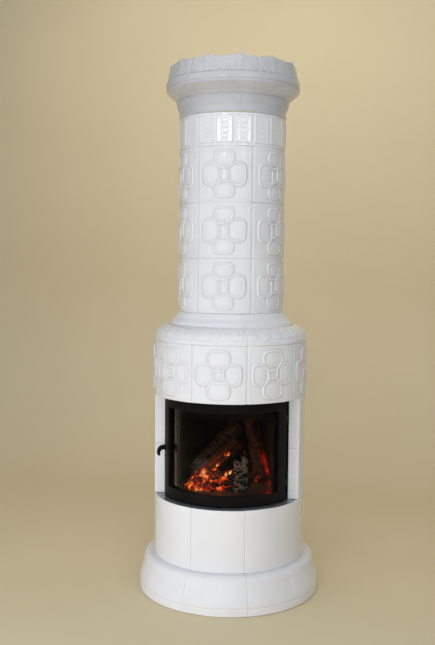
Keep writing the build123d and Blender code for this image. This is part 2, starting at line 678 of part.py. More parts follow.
def air_box():
    """Round box under the hearth plate with a row of air ports at its front."""
    bottom = AIR_BOX_BOTTOM
    box = Pos(0, 0, (bottom + DOOR_BOTTOM) / 2) * Cylinder(AIR_BOX_R, DOOR_BOTTOM - bottom)
    box -= Pos(0, 0, (bottom + DOOR_BOTTOM) / 2 + 3) * Cylinder(AIR_BOX_R - 3, DOOR_BOTTOM - bottom)
    for number in range(AIR_PORTS):
        box -= turned(air_port(AIR_BOX_R), port_angle(number))
    return [box]


def port_angle(number):
    """Angle of an air port; half of its pitch to one side, so that the lever passes between."""
    return (number - (AIR_PORTS - 1) / 2) * AIR_PORT_PITCH


def air_port(radius):
    """Upright port through a wall at the front."""
    middle = (SHUTTER_BOTTOM + SHUTTER_TOP) / 2
    half = AIR_PORT_HEIGHT / 2
    span = angle_of(AIR_PORT_WIDTH / 2, radius)
    return band(radius - 10, radius + 10, middle - half, middle + half, -span, span)


def air_shutter():
    """Curved plate over the air ports with a flat lever that ends under the door."""
    outer = SHUTTER_INNER_R + SHUTTER_THICK
    plate = band(SHUTTER_INNER_R, outer, SHUTTER_BOTTOM, SHUTTER_TOP, -SHUTTER_SPAN, SHUTTER_SPAN)
    for number in range(AIR_PORTS):
        plate -= turned(air_port(AIR_BOX_R), port_angle(number))
    lever_bottom = LEDGE_TOP + (DOOR_GAP - LEVER_THICK) / 2
    half = LEVER_WIDTH / 2
    riser = block(-half, half, -outer, -SHUTTER_INNER_R - RUN, SHUTTER_TOP - 5, lever_bottom + LEVER_THICK)
    riser &= band(SHUTTER_INNER_R, outer, SHUTTER_TOP - 6, DOOR_BOTTOM, -20, 20)
    arm = block(-half, half, -DOOR_R + 3, -outer + 1, lever_bottom, lever_bottom + LEVER_THICK)
    return [plate + riser + arm]


def shutter_guides():
    """Two curved rails on the air box that the shutter slides between."""
    span = SHUTTER_SPAN + SHUTTER_TRAVEL + 4
    lip = SHUTTER_INNER_R + SHUTTER_THICK + RUN
    inner = AIR_BOX_R + SEAT
    rails = []
    low = [
        (inner, SHUTTER_BOTTOM - 8), (lip + 2, SHUTTER_BOTTOM - 8), (lip + 2, SHUTTER_BOTTOM + 3),
        (lip, SHUTTER_BOTTOM + 3), (lip, SHUTTER_BOTTOM - RUN), (inner, SHUTTER_BOTTOM - RUN),
    ]
    rails.append(sector(low, -span, span))
    high = [(radius, SHUTTER_BOTTOM + SHUTTER_TOP - height) for radius, height in low]
    notch = angle_of(LEVER_WIDTH / 2, AIR_BOX_R) + SHUTTER_TRAVEL + 1
    upper = sector(high, -span, span)
    upper -= band(AIR_BOX_R - 5, lip + 5, SHUTTER_TOP - 5, SHUTTER_TOP + 10, -notch, notch)
    return rails + [upper]


def ash_pan():
    """Open pan under the grate, small enough to lift out through the grate's hole."""
    bottom = AIR_BOX_BOTTOM + 3
    outside = grate_hole(-10, bottom, bottom + PAN_DEPTH)
    return [outside - grate_hole(-12, bottom + 2, bottom + PAN_DEPTH + 1)]


def baffle_plate():
    """Refractory plate on top of the lining; smoke passes in front of it."""
    top = LINING_TOP + BAFFLE_THICK
    plate = prism(shell_plan(SHELL_WALL + RUN), LINING_TOP, top)
    reach = SHELL_HALF_WIDTH
    return [plate & block(-reach, reach, BAFFLE_FRONT_Y, SHELL_BACK_Y, LINING_TOP, top)]


def air_wash_channel():
    """Open steel channel over the glass that leads air down its face."""
    outer = SHELL_FRONT_R - SHELL_WALL - SEAT
    inner = outer - AIR_WASH_DEPTH
    sheet = AIR_WASH_SHEET
    low = FRAME_OPEN_TOP
    high = SHELL_TOP - SHELL_WALL
    outline = [
        (inner, low), (outer - AIR_WASH_LIP, low), (outer - AIR_WASH_LIP, low + sheet),
        (inner + sheet, low + sheet), (inner + sheet, high - sheet), (outer, high - sheet), (outer, high),
        (inner, high),
    ]
    return [sector(outline, -GLASS_SPAN, GLASS_SPAN)]


# ---- door ----
def hinge_heights():
    """Middle heights of the two hinges."""
    return [DOOR_BOTTOM + HINGE_FROM_END, DOOR_TOP - HINGE_FROM_END]


def door_frame():
    """Curved frame with bevelled edges, hinge eyes on the right and a spindle bore on the left."""
    frame = band(DOOR_BACK_R, DOOR_R, DOOR_BOTTOM, DOOR_TOP, -DOOR_SPAN, DOOR_SPAN)
    frame -= band(DOOR_BACK_R - 1, DOOR_R + 1, GLASS_BOTTOM, GLASS_TOP, -GLASS_SPAN, GLASS_SPAN)
    face = frame.faces().filter_by(GeomType.CYLINDER).sort_by(SortBy.AREA)[-1]
    frame = chamfer(face.edges(), DOOR_BEVEL)
    for z in hinge_heights():
        frame += hinge_knuckle(z)
    for z in hinge_heights():
        frame -= hinge_bore(z)
    for angle, z in clip_places():
        frame -= radial_rod(CLIP_SCREW_R + SEAT, DOOR_BACK_R - 1, DOOR_R - 5, angle, z)
    return [frame - radial_rod(SPINDLE_R + PIN_RUN, DOOR_BACK_R - 5, DOOR_R + 5, HANDLE_ANGLE, HANDLE_Z)]


def hinge_knuckle(z):
    """Door's half of a hinge: an eye and the web that joins it to the door's edge."""
    eye = Pos(HINGE_X, HINGE_Y, z) * Cylinder(HINGE_EYE_R, HINGE_EYE_HEIGHT)
    x, y = polar(DOOR_R - DOOR_THICK / 2, DOOR_SPAN - 1)
    turn = math.degrees(math.atan2(HINGE_Y - y, HINGE_X - x))
    length = math.hypot(HINGE_X - x, HINGE_Y - y)
    half = HINGE_EYE_HEIGHT / 2
    web = block(0, length, -LUG_WIDTH / 2, LUG_WIDTH / 2, -half, half)
    return eye + Pos(x, y, z) * Rot(0, 0, turn) * web


def radial_rod(radius, start_r, end_r, angle, z):
    """Round bar that points straight out of the curved door."""
    bar = Rot(90, 0, 0) * Cylinder(radius, end_r - start_r)
    return turned(Pos(0, -(start_r + end_r) / 2, z) * bar, angle)


def glass_span():
    """Half angle of the glass, which laps behind the frame."""
    return GLASS_SPAN + angle_of(GLASS_LAP, GLASS_OUTER_R)


def door_glass():
    """Curved ceramic glass behind the frame."""
    span = glass_span()
    return [band(GLASS_INNER_R, GLASS_OUTER_R, GLASS_BOTTOM - GLASS_LAP, GLASS_TOP + GLASS_LAP, -span, span)]


def glass_gasket():
    """Thin rope round the edge of the glass."""
    inner = glass_span() + angle_of(SEAT, GLASS_OUTER_R)
    outer = inner + angle_of(GLASS_ROPE, GLASS_OUTER_R)
    low = GLASS_BOTTOM - GLASS_LAP - SEAT
    high = GLASS_TOP + GLASS_LAP + SEAT
    rope = band(GLASS_INNER_R, GLASS_OUTER_R, low - GLASS_ROPE, high + GLASS_ROPE, -outer, outer)
    return [rope - band(GLASS_INNER_R - 1, GLASS_OUTER_R + 1, low, high, -inner, inner)]


def door_gasket():
    """Sealing rope round the back of the door frame."""
    outer = DOOR_SPAN - 0.6
    inner = outer - angle_of(GASKET_WIDTH, FRAME_R)
    low = DOOR_BOTTOM + GASKET_INSET
    high = DOOR_TOP - GASKET_INSET
    rope = band(FRAME_R + RUN, DOOR_BACK_R - SEAT, low, high, -outer, outer)
    hole = band(FRAME_R, DOOR_BACK_R, low + GASKET_WIDTH, high - GASKET_WIDTH, -inner, inner)
    return [rope - hole]


def clip_places():
    """Angle and height of each glass clip."""
    heights = [GLASS_BOTTOM + CLIP_FROM_END, GLASS_TOP - CLIP_FROM_END]
    return [(side * CLIP_ANGLE, z) for side in (-1, 1) for z in heights]


def glass_clips():
    """Steel clips that hold the glass against the frame from behind."""
    clips = []
    foot = angle_of(GLASS_LAP / 2, GLASS_INNER_R)
    for angle, z in clip_places():
        low = z - CLIP_HEIGHT / 2
        high = z + CLIP_HEIGHT / 2
        inward = glass_span() - 1.2
        edge = abs(angle) + foot / 2
        tongue = band(GLASS_INNER_R - SEAT - CLIP_THICK, GLASS_INNER_R - SEAT, low, high, inward, edge)
        inner_foot = glass_span() + angle_of(2 * SEAT + GLASS_ROPE, GLASS_OUTER_R)
        base = band(GLASS_INNER_R - SEAT - CLIP_THICK, DOOR_BACK_R - SEAT, low, high, inner_foot, edge)
        clip = tongue + base
        clip -= radial_rod(CLIP_SCREW_R + SEAT, GLASS_INNER_R - 10, DOOR_R, abs(angle), z)
        clips.append(clip if angle > 0 else mirror(clip, Plane.YZ))
    return clips


def clip_screws():
    """Pan-head screws through the glass clips."""
    screws = []
    head_r = GLASS_INNER_R - SEAT - CLIP_THICK
    for angle, z in clip_places():
        screw = radial_rod(CLIP_SCREW_R, head_r - 1, DOOR_R - 6, angle, z)
        screws.append(screw + radial_rod(2 * CLIP_SCREW_R, head_r - 2 - SEAT, head_r - SEAT, angle, z))
    return screws


# ---- handle ----
def handle_lever():
    """Hook lever in an upright plane through the stove's axis, bored for its spindle."""
    root = DOOR_R + 2
    reach = DOOR_R + HANDLE_REACH
    outline = Polyline(
        (root + 18, HANDLE_Z - 9), (root, HANDLE_Z - 10), (root, HANDLE_Z + 10), (root + 16, HANDLE_Z + 9),
    )
    back = Spline(
        (root + 16, HANDLE_Z + 9), (reach - 3, HANDLE_Z), (reach + 3, HANDLE_Z - 18),
        (reach, HANDLE_Z - HANDLE_DROP),
    )
    tip = ThreePointArc(
        (reach, HANDLE_Z - HANDLE_DROP), (reach - 5.5, HANDLE_Z - HANDLE_DROP - 3),
        (reach - 9, HANDLE_Z - HANDLE_DROP + 2),
    )
    inside = Spline(
        (reach - 9, HANDLE_Z - HANDLE_DROP + 2), (reach - 10, HANDLE_Z - 15), (root + 18, HANDLE_Z - 9),
    )
    face = Plane.XZ * make_face(outline + back + tip + inside)
    lever = extrude(face, HANDLE_WIDTH / 2, both=True)
    lever = fillet(lever.faces().sort_by(Axis.Y)[0].edges() + lever.faces().sort_by(Axis.Y)[-1].edges(), 2.0)
    lever = turned(lever, HANDLE_ANGLE - 90)
    return [lever - radial_rod(SPINDLE_R + SEAT, DOOR_R, root + SPINDLE_SEAT, HANDLE_ANGLE, HANDLE_Z)]


def handle_spindle():
    """Round spindle from the lever through the door to the latch tongue."""
    return [radial_rod(SPINDLE_R, FRAME_BACK_R - 6, DOOR_R + 2 + SPINDLE_SEAT, HANDLE_ANGLE, HANDLE_Z)]


def latch_tongue():
    """Flat cam on the inner end of the spindle, upright when the door is latched."""
    start = FRAME_BACK_R + 1
    end = start + TONGUE_THICK
    tongue = radial_rod(TONGUE_HUB_R, start, end, HANDLE_ANGLE, HANDLE_Z)
    tongue += turned(block(-4, 4, -end, -start, HANDLE_Z, HANDLE_Z + TONGUE_LENGTH), HANDLE_ANGLE)
    return [tongue - radial_rod(SPINDLE_R + SEAT, start - 1, end + 1, HANDLE_ANGLE, HANDLE_Z)]


def spindle_nut():
    """Hexagon nut that keeps the tongue on the spindle."""
    nut = Rot(90, 0, 0) * extrude(RegularPolygon(TONGUE_HUB_R, 6), 5)
    nut = turned(Pos(0, -FRAME_BACK_R + 4, HANDLE_Z) * nut, HANDLE_ANGLE)
    return [nut - radial_rod(SPINDLE_R + SEAT, FRAME_BACK_R - 20, FRAME_BACK_R + 20, HANDLE_ANGLE, HANDLE_Z)]


# ---- flue ----
def flue_collar():
    """Flanged socket on top of the firebox."""
    inner = COLLAR_R - COLLAR_WALL
    collar = ring(inner, COLLAR_R, SHELL_TOP, SHELL_TOP + COLLAR_HEIGHT)
    return [collar + ring(inner, FLUE_R + 15, SHELL_TOP, SHELL_TOP + COLLAR_FLANGE)]


def flue_pipe():
    """Upright smoke pipe from the firebox to the elbow."""
    return [ring(FLUE_R - FLUE_WALL, FLUE_R, SHELL_TOP + COLLAR_FLANGE, FLUE_OUTLET_Z - FLUE_BEND_R)]


def flue_elbow():
    """Quarter bend from upright to rearward."""
    section = Circle(FLUE_R) - Circle(FLUE_R - FLUE_WALL)
    start = Pos(0, 0, FLUE_OUTLET_Z - FLUE_BEND_R) * section
    axis = Axis((0, FLUE_BEND_R, FLUE_OUTLET_Z - FLUE_BEND_R), (-1, 0, 0))
    return [revolve(start, axis, 90)]


def rear_tube(inner, outer, y0, y1):
    """Tube along Y at the height of the rear outlet."""
    tube = Cylinder(outer, y1 - y0) - Cylinder(inner, y1 - y0 + 1)
    return Pos(0, (y0 + y1) / 2, FLUE_OUTLET_Z) * Rot(90, 0, 0) * tube


def flue_outlet():
    """Straight spigot through the back tile, with a bead that stops the connecting pipe."""
    bead = COLUMN_R + 4
    spigot = rear_tube(FLUE_R - FLUE_WALL, FLUE_R, FLUE_BEND_R, FLUE_END_Y)
    return [spigot + rear_tube(FLUE_R - FLUE_WALL, FLUE_R + BEAD_RISE, bead, bead + BEAD_WIDTH)]


def outlet_seal():
    """Heat-proof rope between the spigot and the back tile."""
    outer_end = COLUMN_R - SEAL_FROM_FACE
    return [rear_tube(FLUE_R + SEAT, FLUE_R + SEAL_WIDTH - SEAT, outer_end - SEAL_LENGTH, outer_end)]


# ---- fire load ----
def ember_bed():
    """Low mound of embers in front of the logs."""
    half_x = EMBER_LENGTH / 2
    half_y = EMBER_WIDTH / 2
    base = Pos(EMBER_X, EMBER_Y, HEARTH_TOP + SEAT) * Ellipse(half_x, half_y)
    top = Ellipse(half_x - EMBER_SLOPE, half_y - EMBER_SLOPE)
    return [loft([base, Pos(EMBER_X, EMBER_Y, HEARTH_TOP + EMBER_HEIGHT) * top])]


def split_log(width, length):
    """Split log along Z: a round bark side and two flat split faces."""
    arc = ThreePointArc((-width / 2, 0), (0, -width * 0.6), (width / 2, 0))
    faces = Polyline((width / 2, 0), (width * 0.1, width * 0.4), (-width / 2, 0))
    return extrude(make_face(arc + faces), length)


def leaning(log, back_y):
    """A log that stands on the hearth floor and leans as far back as a given place."""
    width, length, spin, lean, heading, foot_x = log
    shape = Rot(0, 0, -heading) * Rot(-lean, 0, 0) * Rot(0, 0, spin) * split_log(width, length)
    box = shape.bounding_box()
    return Pos(foot_x, back_y - RUN - box.max.Y, HEARTH_TOP + RUN - box.min.Z) * shape


def firewood():
    """Short birch log upright in front, two logs across it behind, and one at the right."""
    logs = [leaning(BIRCH_LOG, BIRCH_BACK_Y), leaning(LOWER_LOG, LOWER_BACK_Y)]
    return logs + [leaning(UPPER_LOG, BACK_LINING_Y), leaning(RIGHT_LOG, BACK_LINING_Y)]


# ---- write every sub-part ----
os.makedirs("parts", exist_ok=True)
lower_plain, lower_left, lower_right = side_courses(LEDGE_TOP, SIDE_JOINT)
upper_plain, upper_left, upper_right = side_courses(SIDE_JOINT, OPENING_TOP)
nodes = {
    "plinth_tiles": plinth_tiles(),
    "lower_tiles": lower_tiles(),
    "side_tiles_lower": lower_plain,
    "side_tiles_upper": upper_plain,
    "jamb_tiles_left": [lower_left, upper_left],
    "jamb_tiles_right": [lower_right, upper_right],
    "header_tiles": header_tiles(),
    "shoulder_tiles": shoulder_tiles(),
    "column_tiles_lower": column_tiles(0),
    "column_tiles_middle": column_tiles(1),
    "column_tiles_upper": column_tiles(2),
    "frieze_tiles": frieze_tiles(),
    "cornice_tiles": cornice_tiles(),
    "crest_tiles": crest_tiles(),
    "top_cover": top_cover(),
    "base_slab": base_slab(),
    "levelling_feet": levelling_feet(),
    "insert_stand": insert_stand(),
    "lintel_ring": lintel_ring(),
    "column_carrier": column_carrier(),
    "thermal_mass_rings": thermal_mass_rings(),
    "body_tile_clamps": body_tile_clamps(),
    "column_tile_clamps": column_tile_clamps(),
    "air_box": air_box(),
    "shutter_guides": shutter_guides(),
    "air_shutter": air_shutter(),
    "ash_pan": ash_pan(),
    "grate": grate(),
    "hearth_floor": hearth_floor(),
    "lining_left": lining(LINING_FRONT_Y, BACK_LINING_Y, -1),
    "lining_right": lining(LINING_FRONT_Y, BACK_LINING_Y, 1),
    "lining_back": lining(BACK_LINING_Y, SHELL_BACK_Y, 0),
    "baffle_plate": baffle_plate(),
    "air_wash_channel": air_wash_channel(),
    "firebox_shell": firebox_shell(),
    "front_frame": front_frame(),
    "hinge_pins": hinge_pins(),
    "latch_keeper": latch_keeper(),
    "flue_collar": flue_collar(),
    "flue_pipe": flue_pipe(),
    "flue_elbow": flue_elbow(),
    "flue_outlet": flue_outlet(),
    "outlet_seal": outlet_seal(),
    "ember_bed": ember_bed(),
    "firewood": firewood(),
    "door_frame": door_frame(),
    "door_glass": door_glass(),
    "glass_gasket": glass_gasket(),
    "door_gasket": door_gasket(),
    "glass_clips": glass_clips(),
    "clip_screws": clip_screws(),
    "handle_lever": handle_lever(),
    "handle_spindle": handle_spindle(),
    "latch_tongue": latch_tongue(),
    "spindle_nut": spindle_nut(),
}
for node, solids in nodes.items():
    write(node, solids)
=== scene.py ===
import math

import bmesh
import bpy
import numpy as np
from mathutils import Matrix, Vector, noise

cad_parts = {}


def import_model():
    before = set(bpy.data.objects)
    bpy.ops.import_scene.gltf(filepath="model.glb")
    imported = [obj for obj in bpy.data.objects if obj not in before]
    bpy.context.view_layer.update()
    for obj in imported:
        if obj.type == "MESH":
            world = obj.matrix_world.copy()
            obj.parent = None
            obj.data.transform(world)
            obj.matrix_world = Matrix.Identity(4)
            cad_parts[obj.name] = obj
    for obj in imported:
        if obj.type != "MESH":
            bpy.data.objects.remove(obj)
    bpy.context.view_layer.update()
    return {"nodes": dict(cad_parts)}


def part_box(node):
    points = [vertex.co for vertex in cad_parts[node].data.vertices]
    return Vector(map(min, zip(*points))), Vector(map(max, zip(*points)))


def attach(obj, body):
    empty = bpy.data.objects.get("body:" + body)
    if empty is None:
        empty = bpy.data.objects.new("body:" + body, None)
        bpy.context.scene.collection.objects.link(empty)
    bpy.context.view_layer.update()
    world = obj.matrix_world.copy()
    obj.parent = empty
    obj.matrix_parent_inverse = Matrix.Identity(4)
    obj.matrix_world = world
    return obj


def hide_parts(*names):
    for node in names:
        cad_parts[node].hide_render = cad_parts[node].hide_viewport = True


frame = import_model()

# Looks of a round tiled stove: white glazed relief tiles round a fire insert with a curved door.
# Metres, +Z up, front towards -Y. Angles in plan are counted from the front and grow towards +X.

rng = np.random.default_rng(11)


# ---- sizes read from the frame ----
def top(node):
    """Height of a node's highest point."""
    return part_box(node)[1].z


def reach(node):
    """How far a node reaches from the stove's axis."""
    low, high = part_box(node)
    return max(high.x, high.y, -low.x, -low.y)


PLINTH_TOP = top("plinth_tiles")
LEDGE_TOP = top("lower_tiles")
SIDE_JOINT = top("side_tiles_lower")
OPENING_TOP = top("side_tiles_upper")
HEADER_TOP = top("header_tiles")
SHOULDER_TOP = top("shoulder_tiles")
COLUMN_TOP = top("column_tiles_upper")
FRIEZE_TOP = top("frieze_tiles")
CORNICE_TOP = top("cornice_tiles")
CREST_PEAK = top("crest_tiles") - CORNICE_TOP
PLINTH_R = reach("plinth_tiles")
BODY_R = reach("lower_tiles")
HEADER_R = reach("header_tiles")
COLUMN_R = reach("column_tiles_lower")
CORNICE_R = reach("cornice_tiles")
CREST_R = reach("crest_tiles")
HEARTH_TOP = top("hearth_floor")
LINING_BACK_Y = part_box("lining_back")[0].y
JAMB_X, JAMB_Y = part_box("jamb_tiles_right")[0].xy
SIDE_LEVELS = ((LEDGE_TOP, SIDE_JOINT), (SIDE_JOINT, OPENING_TOP))
COURSE_HEIGHT = (COLUMN_TOP - SHOULDER_TOP) / 3

# ---- sizes of the looks ----
BODY_TILES = 9
COLUMN_TILES = 6
TILE_DEPTH = 0.030
JOINT = 0.0006
GROUT_BACK = 0.0009
GROUT_DEPTH = 0.012
LEDGE_INNER_R = 0.226
LEDGE_THICK = 0.024
JAMB_THICK = 0.022
# A tile's edge: how wide and how deep it falls back, and how far the face turns inward.
EDGE = 0.0042
EDGE_DEPTH = 0.0017
EDGE_RETURN = 0.0075
# How far single tiles stray: seat, tilt and lean, and the height of their waves per wave length.
STRAY = (0.00015, 0.00022, 0.00018)
WAVE = 0.0009
# Glaze gathers this far from relief, fully below this depth.
POOL_REACH = 0.004
POOL_DEPTH = 0.0009
# Mesh: spacing of drawn lines, of relief and of plain faces, and extra places beside edges and marks.
FINE = 0.0004
RELIEF_STEP = 0.0022
PLAIN_STEP = 0.006
NEAR_EDGE = (0.0003, 0.0008, 0.0015, 0.0025)
NEAR_MARK = (0, 0.0006, 0.0013)
CLOSEST = 0.00015
SEAM_POINTS = 120
# For drawings in millimetres: half a joint, and the back of a tile.
SEAM = 500 * JOINT
DEEP = -1000 * TILE_DEPTH


# ---- lines ----
def resampled(points, step):
    """Even points along a line."""
    gaps = np.linalg.norm(np.diff(points, axis=0), axis=1)
    along = np.concatenate([[0], np.cumsum(gaps)])
    at = np.linspace(0, along[-1], max(2, round(along[-1] / step) + 1))
    return np.column_stack([np.interp(at, along, points[:, axis]) for axis in (0, 1)])


def spline(points):
    """Smooth curve through a few points."""
    points = np.array(points, float)
    ends = [2 * points[0] - points[1], *points, 2 * points[-1] - points[-2]]
    share = np.linspace(0, 1, 24, endpoint=False)[:, None]
    curve = []
    for a, b, c, d in zip(ends, ends[1:], ends[2:], ends[3:]):
        bend = (2 * a - 5 * b + 4 * c - d) * share ** 2 + (3 * b - a - 3 * c + d) * share ** 3
        curve.append(0.5 * (2 * b + (c - a) * share + bend))
    return resampled(np.vstack([*curve, points[-1:]]), FINE)


def blurred(values, radius, step, closed=False):
    """Values along a line, averaged over a soft window; the ends of an open line stay."""
    width = max(1, round(3 * radius / step))
    weights = np.exp(-0.5 * (np.arange(-width, width + 1) * step / radius) ** 2)
    weights /= weights.sum()
    if closed:
        padded = np.concatenate([values[-width:], values, values[:width]])
    else:
        width = min(width, len(values) - 1)
        weights = weights[len(weights) // 2 - width:len(weights) // 2 + width + 1]
        weights = weights / weights.sum()
        head = 2 * values[0] - values[width:0:-1]
        tail = 2 * values[-1] - values[-2:-width - 2:-1]
        padded = np.concatenate([head, values, tail])
    return np.convolve(padded, weights, "valid")


def spaced(line, step, turn=0.16):
    """Points along a fine line, closer together where it bends."""
    moves = np.diff(line, axis=0)
    heading = np.unwrap(np.arctan2(moves[:, 1], moves[:, 0]))
    bend = np.abs(np.diff(heading, prepend=heading[0]))
    cost = np.concatenate([[0], np.cumsum(np.linalg.norm(moves, axis=1) / step + bend / turn)])
    at = np.linspace(0, cost[-1], math.ceil(cost[-1]) + 1)
    return np.column_stack([np.interp(at, cost, line[:, axis]) for axis in (0, 1)])


def section(start, *strokes, step=PLAIN_STEP, soft=0.0012):
    """Front line of a moulding from the bottom up: smooth strokes that meet in soft corners."""
    parts = [[start]]
    for stroke in strokes:
        parts.append(spline([start, *stroke])[1:])
        start = stroke[-1]
    line = resampled(np.vstack(parts), FINE)
    line = np.column_stack([blurred(line[:, axis], soft, FINE) for axis in (0, 1)])
    return spaced(line, step)


def drawn_from(r, z):
    """Points of a moulding, drawn in millimetres outward and upward from one of its corners."""
    return lambda *offsets: [(r + outward / 1000, z + up / 1000) for outward, up in offsets]


def upright_face(radius, low, high, step):
    """Front line of a plain tile: straight, with rounded edges."""
    low += JOINT / 2
    high -= JOINT / 2
    inner = radius - EDGE_RETURN
    return section((inner, low), [(radius, low)], [(radius, high)], [(inner, high)], step=step, soft=0.0014)


def face_places(half, step, marks=()):
    """Places across a tile, closer together at its edges and at marked places."""
    places = list(np.linspace(-half, half, 2 * math.ceil(half / step) + 1))
    for near in NEAR_EDGE:
        places += [near - half, half - near]
    for mark in marks:
        places += [mark + side * near for side in (-1, 1) for near in NEAR_MARK]
    places = sorted(place for place in places if abs(place) <= half)
    kept = [places[0]]
    for place in places[1:]:
        if place - kept[-1] > CLOSEST:
            kept.append(place)
    return np.array(kept)


# ---- shapes of relief; u runs to the right and v up, in metres ----
def bump(distance, half_width):
    """Soft round ridge over a line."""
    return 0.5 + 0.5 * np.cos(np.pi * np.clip(np.abs(distance) / half_width, 0, 1))


def ramp(value, start, end):
    """Smooth rise from 0 at start to 1 at end."""
    share = np.clip((value - start) / (end - start), 0, 1)
    return share * share * (3 - 2 * share)


def rounded_box(u, v, half_u, half_v, corner):
    """Distance to a rectangle with round corners, negative inside."""
    over_u = np.abs(u) - half_u + corner
    over_v = np.abs(v) - half_v + corner
    outside = np.hypot(np.maximum(over_u, 0), np.maximum(over_v, 0))
    return outside + np.minimum(np.maximum(over_u, over_v), 0) - corner


def leaf(u, v, foot, lean, length, half_width, teeth=0):
    """Pointed leaf with a groove along its rib, from 0 to 1; lean is counted from straight up."""
    turn = math.radians(lean)
    du = u - foot[0]
    dv = v - foot[1]
    along = (du * math.sin(turn) + dv * math.cos(turn)) / length
    across = du * math.cos(turn) - dv * math.sin(turn)
    inside = np.clip(along, 0, 1)
    width = half_width * np.sin(np.pi * inside ** 0.75) ** 0.7
    if teeth:
        width = width * (0.84 + 0.16 * np.cos(2 * np.pi * teeth * inside))
    share = across / np.maximum(width, 1e-5)
    shape = np.clip(1 - share ** 2, 0, 1) ** 0.7
    rib = 1 - 0.45 * np.exp(-((across / (0.10 * half_width)) ** 2))
    return np.where((along > 0) & (along < 1), shape * rib, 0)


# ---- closed meshes ----
def strips(rows, loop):
    """Quads of a loop that is carried along rows."""
    here = np.arange(rows - 1)[:, None] * loop + np.arange(loop)
    beside = np.arange(rows - 1)[:, None] * loop + (np.arange(loop) + 1) % loop
    return np.stack([here, here + loop, beside + loop, beside], -1).reshape(-1, 4).tolist()


def tube(rows, loop, turned=False):
    """Faces of a closed body: a loop that is carried along rows, with a face over each end."""
    last = (rows - 1) * loop
    faces = strips(rows, loop) + [list(range(loop)), list(range(last + loop - 1, last - 1, -1))]
    return [face[::-1] for face in faces] if turned else faces


def added(name, data):
    """Put a new object into the scene."""
    made = bpy.data.objects.new(name, data)
    bpy.context.scene.collection.objects.link(made)
    return made


class Heap:
    """Closed bodies gathered into one mesh, with values for their points."""

    def __init__(self):
        self.points, self.faces, self.values, self.count = [], [], {}, 0

    def take(self, points, faces, **values):
        """Add one body; a single number is its value at every point."""
        self.points.append(points)
        self.faces += [[corner + self.count for corner in face] for face in faces]
        for key, numbers in values.items():
            shape = (len(points), *np.shape(numbers)[1:])
            self.values.setdefault(key, []).append(np.broadcast_to(numbers, shape))
        self.count += len(points)

    def show(self, name, look, slot, node=None, sharp=38.0):
        """Show the bodies as one piece of the stove, in place of a node of the frame."""
        mesh = bpy.data.meshes.new(name)
        mesh.from_pydata(np.vstack(self.points).tolist(), [], self.faces)
        mesh.shade_smooth()
        mesh.set_sharp_from_angle(angle=math.radians(sharp))
        for key, numbers in self.values.items():
            numbers = np.concatenate(numbers).astype(np.float32)
            kind, field = ("FLOAT", "value") if numbers.ndim == 1 else ("FLOAT_VECTOR", "vector")
            mesh.attributes.new(key, kind, "POINT").data.foreach_set(field, numbers.ravel())
        mesh.materials.append(look)
        mesh.validate()
        piece = added(name, mesh)
        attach(piece, "root")
        if node:
            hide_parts(node)


class Ring(Heap):
    """Gathers the tiles of one course."""

    def __init__(self, front, back, radius=None):
        super().__init__()
        self.front, self.back = front, np.array(back)
        self.radius = radius or front[:, 0].max()
        moves = np.gradient(front, axis=0)
        lengths = np.linalg.norm(moves, axis=1)
        self.normal = np.column_stack([moves[:, 1], -moves[:, 0]]) / lengths[:, None]
        self.along = np.concatenate([[0], np.cumsum(np.linalg.norm(np.diff(front, axis=0), axis=1))])

    def add(self, angle, places, lift, pool=0.0, tone=0.0, rise=None):
        """One closed tile: its front lifted along the normal, and its back left plain."""
        ahead = len(self.front)
        rows, loop = len(places), ahead + len(self.back)
        r, z, gathered = np.zeros((3, rows, loop))
        r[:, :ahead] = self.front[:, 0] + self.normal[:, 0] * lift
        z[:, :ahead] = self.front[:, 1] + self.normal[:, 1] * lift
        r[:, ahead:], z[:, ahead:] = self.back.T[:, None]
        gathered[:, :ahead] = pool
        if rise is not None:
            z = rise(places[:, None], z)
        z = np.maximum(z, 0)
        turn = math.radians(angle) + places[:, None] / self.radius
        points = np.stack([r * np.sin(turn), -r * np.cos(turn), z], -1).reshape(-1, 3)
        self.take(points, tube(rows, loop), pool=gathered.ravel(), tone=tone)


def edge_drop(places, half, depth=EDGE_DEPTH):
    """How far a face falls back near a tile's left and right edges."""
    near = np.clip(1 - (half - np.abs(places)) / EDGE, 0, 1)
    return depth * (1 - np.sqrt(1 - near ** 2))


def uneven(u, v, half, height):
    """Small unevenness of one hand-pressed tile: its seat, its tilt and slow waves."""
    seat, tilt, lean = rng.uniform(-1, 1, 3) * STRAY
    wave = seat + tilt * u / half + lean * v / height
    for _ in range(5):
        length = rng.uniform(0.045, 0.15)
        heading, phase = rng.uniform(0, 2 * np.pi, 2)
        push = (u * math.cos(heading) + v * math.sin(heading)) * 2 * np.pi / length
        wave = wave + length * WAVE * np.cos(push + phase)
    return wave


def pooled(relief, places, along):
    """Where glaze gathers: low ground beside relief."""
    wide = np.apply_along_axis(blurred, 0, relief, POOL_REACH, np.median(np.diff(places)))
    wide = np.apply_along_axis(blurred, 1, wide, POOL_REACH, np.median(np.diff(along)))
    return np.clip((wide - relief) / POOL_DEPTH, 0, 1)


